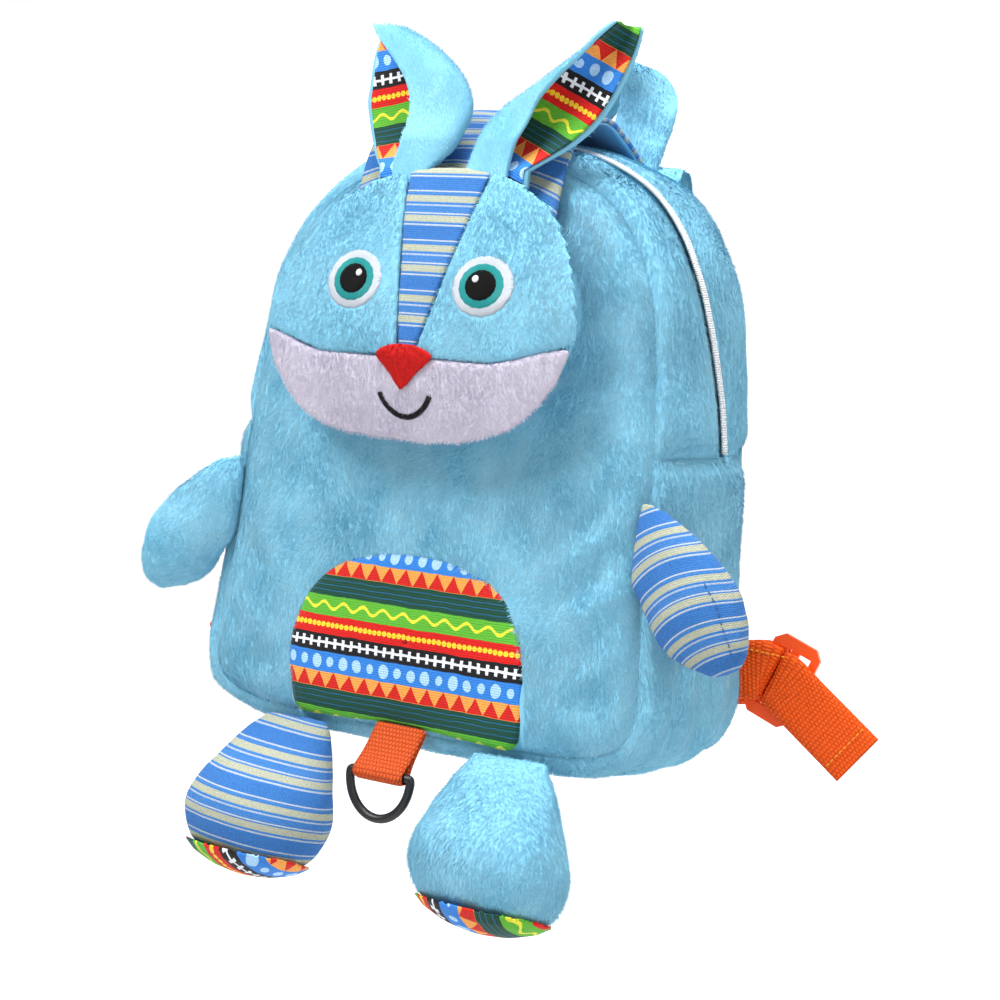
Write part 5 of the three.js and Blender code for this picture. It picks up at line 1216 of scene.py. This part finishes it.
handle_points, handle_faces, handle_pattern, handle_side = band(
    [handle_at(*at) for at, _ in HANDLE_ROWS], [way for _, way in HANDLE_ROWS], HANDLE_WIDTH, HANDLE_THICK, 110, 22, round_edge=5)
handle_points = handle_points + 0.5 * mottle(handle_points, 18, 101)[:, None] * handle_side[1]
sew("handle_band", handle_points, handle_faces, blue_plush, ("handle",), pattern=handle_pattern)
pile("handle_pile", (handle_points, handle_side[1], handle_side[2]), blue_plush, 1.8, length=2.2, width=0.45, lift=0.4, seed=102)


# The webbing: woven polypropylene, 25 mm at the front for the ring and a little wider on the shoulder straps, with
# a pebbled basket weave. The front loop is doubled round the black ring and sewn into the bottom seam.
LOOP_WIDTH, WEBBING, RING_WIRE, RING_Y, RING_Z = 25.0, 1.6, 4.0, -63.0, -13.5
PEBBLE_LONG, PEBBLE_WIDE = 2.1, 1.7


def webbing(name, light, deep):
    """Woven polypropylene: rows of pebble-like floats with a low gloss, their hollows darkened by painted shade."""
    material, tree, shader = new_material(name, Roughness=0.6, Specular_IOR_Level=0.2)
    cloth = on_cloth(tree)
    split = put(tree, "ShaderNodeSeparateXYZ", cloth).node
    row = maths(tree, "DIVIDE", split.outputs["Y"], PEBBLE_LONG)
    odd = maths(tree, "MULTIPLY", maths(tree, "FLOOR", row), 0.5)
    column = maths(tree, "DIVIDE", split.outputs["X"], PEBBLE_WIDE)
    column = maths(tree, "ADD", column, odd)
    high = maths(tree, "SINE", maths(tree, "MULTIPLY", column, math.pi))
    long = maths(tree, "SINE", maths(tree, "MULTIPLY", row, math.pi))
    height = maths(tree, "ABSOLUTE", maths(tree, "MULTIPLY", high, long))
    height = maths(tree, "POWER", height, 0.6)
    # Painted shade: the colour runs from deep in the hollows between the floats to light on their tops
    worn(tree, shader, cloth, mixed(tree, height, deep, light), 0.7, 2, 0.9, 1.08)
    bumped(tree, shader, height, 0.8, 0.0006)
    return material


front_webbing = webbing("woven_polypropylene_webbing_muted_orange", "#db5a24", "#a93c16")
strap_webbing = webbing("woven_polypropylene_webbing_orange", "#ff6210", "#d94104")

seam = np.array([0, FRONT_Y - 2 - RING_Y, 5 - RING_Z])
reach = np.linalg.norm(seam)
up_loop = seam / reach
out_loop = np.array([0, -up_loop[2], up_loop[1]])
bar = np.array([0, RING_Y, RING_Z])
inside = RING_WIRE / 2 + GAP + WEBBING / 2
close = WEBBING / 2 + GAP
turns = [bar + out_loop * inside * math.cos(a) - up_loop * inside * math.sin(a) for a in np.radians(np.linspace(-10, 190, 7))]
loop_line = [bar + up_loop * reach + out_loop * close, bar + up_loop * 9 + out_loop * (close + 0.4), *turns,
             bar + up_loop * 9 - out_loop * (close + 0.4), bar + up_loop * reach - out_loop * close]
loop_points, loop_faces, loop_pattern, _ = band(loop_line, [(1, 0, 0)] * len(loop_line), LOOP_WIDTH, WEBBING, 76, 12)
sew("front_loop_webbing", loop_points, loop_faces, front_webbing, ("front_loop",), pattern=loop_pattern)

# The ring is moulded nylon, black, with the faint grain of its mould
moulded_nylon = grained("moulded_black_nylon", 1400, 0.15, 0.0002,
                        Base_Color=colour("#17171a"), Roughness=0.38, Specular_IOR_Level=0.5)
ring_half, ring_corner, ring_drop = 26.4 / 2 + RING_WIRE / 2, 1.6, 20.0
ring_path = [(s * (ring_half - ring_corner), 0) for s in (-0.75, -0.25, 0.25, 0.75)] + [(ring_half - ring_corner * 0.3, -ring_corner * 0.3)]
ring_path += [(math.cos(a) * ring_half, -ring_corner - math.sin(a) * (ring_drop - ring_corner)) for a in np.linspace(0, math.pi, 13)]
ring_path += [(-ring_half + ring_corner * 0.3, -ring_corner * 0.3)]
ring_line = smooth_line(ring_path, closed=True, steps=8)[:-1]
ring_run = np.roll(ring_line, -1, axis=0) - np.roll(ring_line, 1, axis=0)
ring_run /= np.linalg.norm(ring_run, axis=1, keepdims=True)
wire_turn = np.linspace(0, 2 * math.pi, 16, endpoint=False)
ring_points, ring_faces = [], []
for i, ((x, z), (rx, rz)) in enumerate(zip(ring_line, ring_run)):
    for a in wire_turn:
        out_wire, depth = math.cos(a) * RING_WIRE / 2, math.sin(a) * RING_WIRE / 2
        ring_points.append((x - rz * out_wire, RING_Y + depth, RING_Z + z + rx * out_wire))
for i in range(len(ring_line)):
    for j in range(16):
        after_i, after_j = (i + 1) % len(ring_line), (j + 1) % 16
        ring_faces.append((i * 16 + j, i * 16 + after_j, after_i * 16 + after_j, after_i * 16 + j))
sew("front_ring_nylon", np.array(ring_points), ring_faces, moulded_nylon, ("d_ring",), body="ring")


# The shoulder straps, alike on both sides: a padded plush band from the top of the back, a doubled webbing loop that
# holds a moulded slider, and an adjusting webbing from the bag's lower corner that ends in a free, hemmed tail.
PAD_WIDTH, PAD_THICK, STRAP_WIDTH = 38.0, 8.0, 27.7
SLIDER_LENGTH, SLIDER_WIDTH, SLIDER_THICK, SLIDER_BAR, SLIDER_SLOT = 41.0, 24.0, 2.6, 4.0, 6.0
SLIDER_PLACE, SLIDER_TURN, TAIL_LENGTH, TAIL_TURN = (137.5, 60.0, 39.0), math.radians(21.4), 50.0, math.radians(37)
PAD_ROOT_X, PAD_END_X, PAD_END_Y, FOOT_X, FOOT_Z = 46.0, 75.0, 56.0, 44.0, 20.0

# The sliders: glossy injection-moulded acetal. The thread: spun polyester
moulded_acetal = grained("moulded_orange_acetal", 700, 0.05, Base_Color=colour("#ff5508"), Roughness=0.28,
                         Specular_IOR_Level=0.5, Coat_Weight=0.15)
sewing_thread, _, _ = new_material("spun_polyester_thread_gold", Base_Color=colour("#e79a1e"), Roughness=0.6)

first_slot = -SLIDER_WIDTH / 2 + SLIDER_BAR
second_slot = first_slot + SLIDER_SLOT + SLIDER_BAR
for side_name, side in (("left", -1), ("right", 1)):
    pad_y = BACK_Y + BACK_CROWN + PAD_THICK / 2 + 2

    def pad_x(share):
        return side * (PAD_ROOT_X + share * (PAD_END_X - PAD_ROOT_X))

    pad_line = [(pad_x(0), BACK_Y + 3, BACK_HEIGHT - 6), (pad_x(0.07), BACK_Y + 11, BACK_HEIGHT - 2), (pad_x(0.17), pad_y + 6, BACK_HEIGHT - 22),
                (pad_x(0.34), pad_y + 8, BACK_HEIGHT * 0.72), (pad_x(0.55), pad_y + 6, BACK_HEIGHT * 0.5),
                (pad_x(0.72), pad_y + 4, BACK_HEIGHT * 0.33), (pad_x(1), PAD_END_Y, BACK_HEIGHT * 0.2)]
    pad_ways = [(side, 0, -0.25), (side, 0, -0.25), (side, 0, -0.1), (side, 0, 0.1), (side, 0, 0.1), (side, 0, 0.15), (side, 0, 0.4)]
    pad_points, pad_faces, pad_pattern, pad_side = band(pad_line, pad_ways, PAD_WIDTH, PAD_THICK, 90, 20, round_edge=3)
    pad_points = pad_points + (0.5 * mottle(pad_points, 24, 111))[:, None] * pad_side[1]
    pad = sew(f"shoulder_pad_{side_name}_plush", pad_points, pad_faces, blue_plush, (f"shoulder_pad_{side_name}",), pattern=pad_pattern)
    pile(f"shoulder_pad_{side_name}_pile", (pad_points, pad_side[1], pad_side[2]), blue_plush, 1.0, length=2.4, seed=112 + side)

    strap_run = np.array([side * math.cos(SLIDER_TURN), 0, -math.sin(SLIDER_TURN)])
    strap_over = np.array([side * math.sin(SLIDER_TURN), 0, math.cos(SLIDER_TURN)])
    centre = np.array([side * SLIDER_PLACE[0], SLIDER_PLACE[1], SLIDER_PLACE[2]])

    def in_slider(run, over, out):
        return centre + strap_run * run + strap_over * over + np.array([0, -out, 0])

    bar_at = -SLIDER_WIDTH / 2 + SLIDER_BAR / 2
    over_plate = SLIDER_THICK / 2 + GAP + WEBBING / 2
    turn_at = bar_at + SLIDER_BAR / 2 + 4.6 * GAP + WEBBING / 2
    behind_pad = PAD_END_Y + PAD_THICK / 2 + GAP + WEBBING / 2
    level, tilt = (0, 0, 1), tuple(strap_over)

    def loop_root(n):
        return side * (PAD_END_X + 1), behind_pad + n, SLIDER_PLACE[2] + 5

    def loop_past(n):
        return side * (PAD_END_X + PAD_WIDTH / 2 + 3), behind_pad + n, SLIDER_PLACE[2] + 3

    def loop_middle(n):
        return side * (SLIDER_PLACE[0] - 24), SLIDER_PLACE[1] - n, SLIDER_PLACE[2] + 1.5

    strap_loop = [(loop_root(0), level), (loop_past(0), level), (loop_middle(over_plate), level), (in_slider(bar_at + 1, 0, over_plate + 0.8), tilt),
                  (in_slider(turn_at, 0, over_plate * 0.4), tilt), (in_slider(turn_at - 0.2, 0, -over_plate * 0.4), tilt),
                  (in_slider(bar_at + 1, 0, -over_plate - 0.7), tilt), (loop_middle(-over_plate), level),
                  (loop_past(WEBBING + GAP), level), (loop_root(WEBBING + GAP), level)]
    strap_points, strap_faces, strap_pattern, _ = band([p for p, _ in strap_loop], [w for _, w in strap_loop], STRAP_WIDTH, WEBBING, 130, 12)
    sew(f"strap_loop_{side_name}_webbing", strap_points, strap_faces, strap_webbing, (f"strap_loop_{side_name}",), pattern=strap_pattern)

    mid_bar = (first_slot + SLIDER_SLOT + second_slot) / 2
    under = over_plate + WEBBING + 2 * GAP + 1.4
    rise_at = first_slot + SLIDER_SLOT - 3 * GAP - WEBBING / 2
    foot_way = (side * -0.24, 0, 1)
    tail_way = (side * math.sin(TAIL_TURN), 0, math.cos(TAIL_TURN))

    def tail_at(run):
        start = in_slider(mid_bar, 0, over_plate + 0.9)
        return start + np.array([side * run * math.cos(TAIL_TURN), 0, -run * math.sin(TAIL_TURN)])

    adjusting = [((side * FOOT_X, BACK_Y + BACK_CROWN, FOOT_Z), foot_way), ((side * (FOOT_X + 13), BACK_Y + BACK_CROWN + 1.5, FOOT_Z + 3), foot_way),
                 ((side * (FOOT_X + 32), SLIDER_PLACE[1] + under, FOOT_Z + 9), foot_way),
                 ((side * (SLIDER_PLACE[0] - 36), SLIDER_PLACE[1] + under + 1.5, SLIDER_PLACE[2] - 4), (side * -0.1, 0, 1)),
                 ((side * (SLIDER_PLACE[0] - 18), SLIDER_PLACE[1] + under, SLIDER_PLACE[2] - 0.5), level),
                 (in_slider(rise_at - 4.2, 0, -under - 1.3), tilt), (in_slider(rise_at + 0.1, 0, -over_plate - 1), tilt), (in_slider(rise_at, 0, 0), tilt),
                 (in_slider(rise_at + 0.7, 0, over_plate + 0.2), tilt), (in_slider(mid_bar + 1, 0, over_plate + 1.1), tilt),
                 (tail_at(14), tail_way), (tail_at(TAIL_LENGTH * 0.6), tail_way), (tail_at(TAIL_LENGTH), tail_way)]
    web_points, web_faces, web_pattern, _ = band([p for p, _ in adjusting], [w for _, w in adjusting], STRAP_WIDTH, WEBBING, 160, 12)
    sew(f"strap_webbing_{side_name}_band", web_points, web_faces, strap_webbing, (f"strap_webbing_{side_name}",), pattern=web_pattern)

    hem = [tail_at(TAIL_LENGTH - 8) + np.array(tail_way) * s * (STRAP_WIDTH / 2 - 1) + (0, -WEBBING / 2, 0) for s in (-1, 1)]
    stitches(f"strap_hem_{side_name}_stitches", hem, (0, -1, 0), 2.6, sewing_thread)
    top_edge = [np.array(loop_middle(over_plate)) + (0, -WEBBING / 2 - 0.2, STRAP_WIDTH / 2 - 2.5), in_slider(mid_bar - 2, STRAP_WIDTH / 2 - 2.5, over_plate + WEBBING + 1.4)]
    stitches(f"strap_edge_{side_name}_stitches", top_edge, (0, -1, 0), 2.6, sewing_thread)

    slider_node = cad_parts[f"strap_slider_{side_name}"]
    slider = bpy.data.objects.new(f"strap_slider_{side_name}_acetal", slider_node.data.copy())
    bpy.context.scene.collection.objects.link(slider)
    slider.data.materials.clear()
    slider.data.materials.append(moulded_acetal)
    rounding = slider.modifiers.new("moulded_edges", "BEVEL")
    rounding.width = 0.0009
    rounding.segments = 3
    rounding.limit_method = "ANGLE"
    for polygon in slider.data.polygons:
        polygon.use_smooth = True
    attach(slider, "bag")
    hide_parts(f"strap_slider_{side_name}")
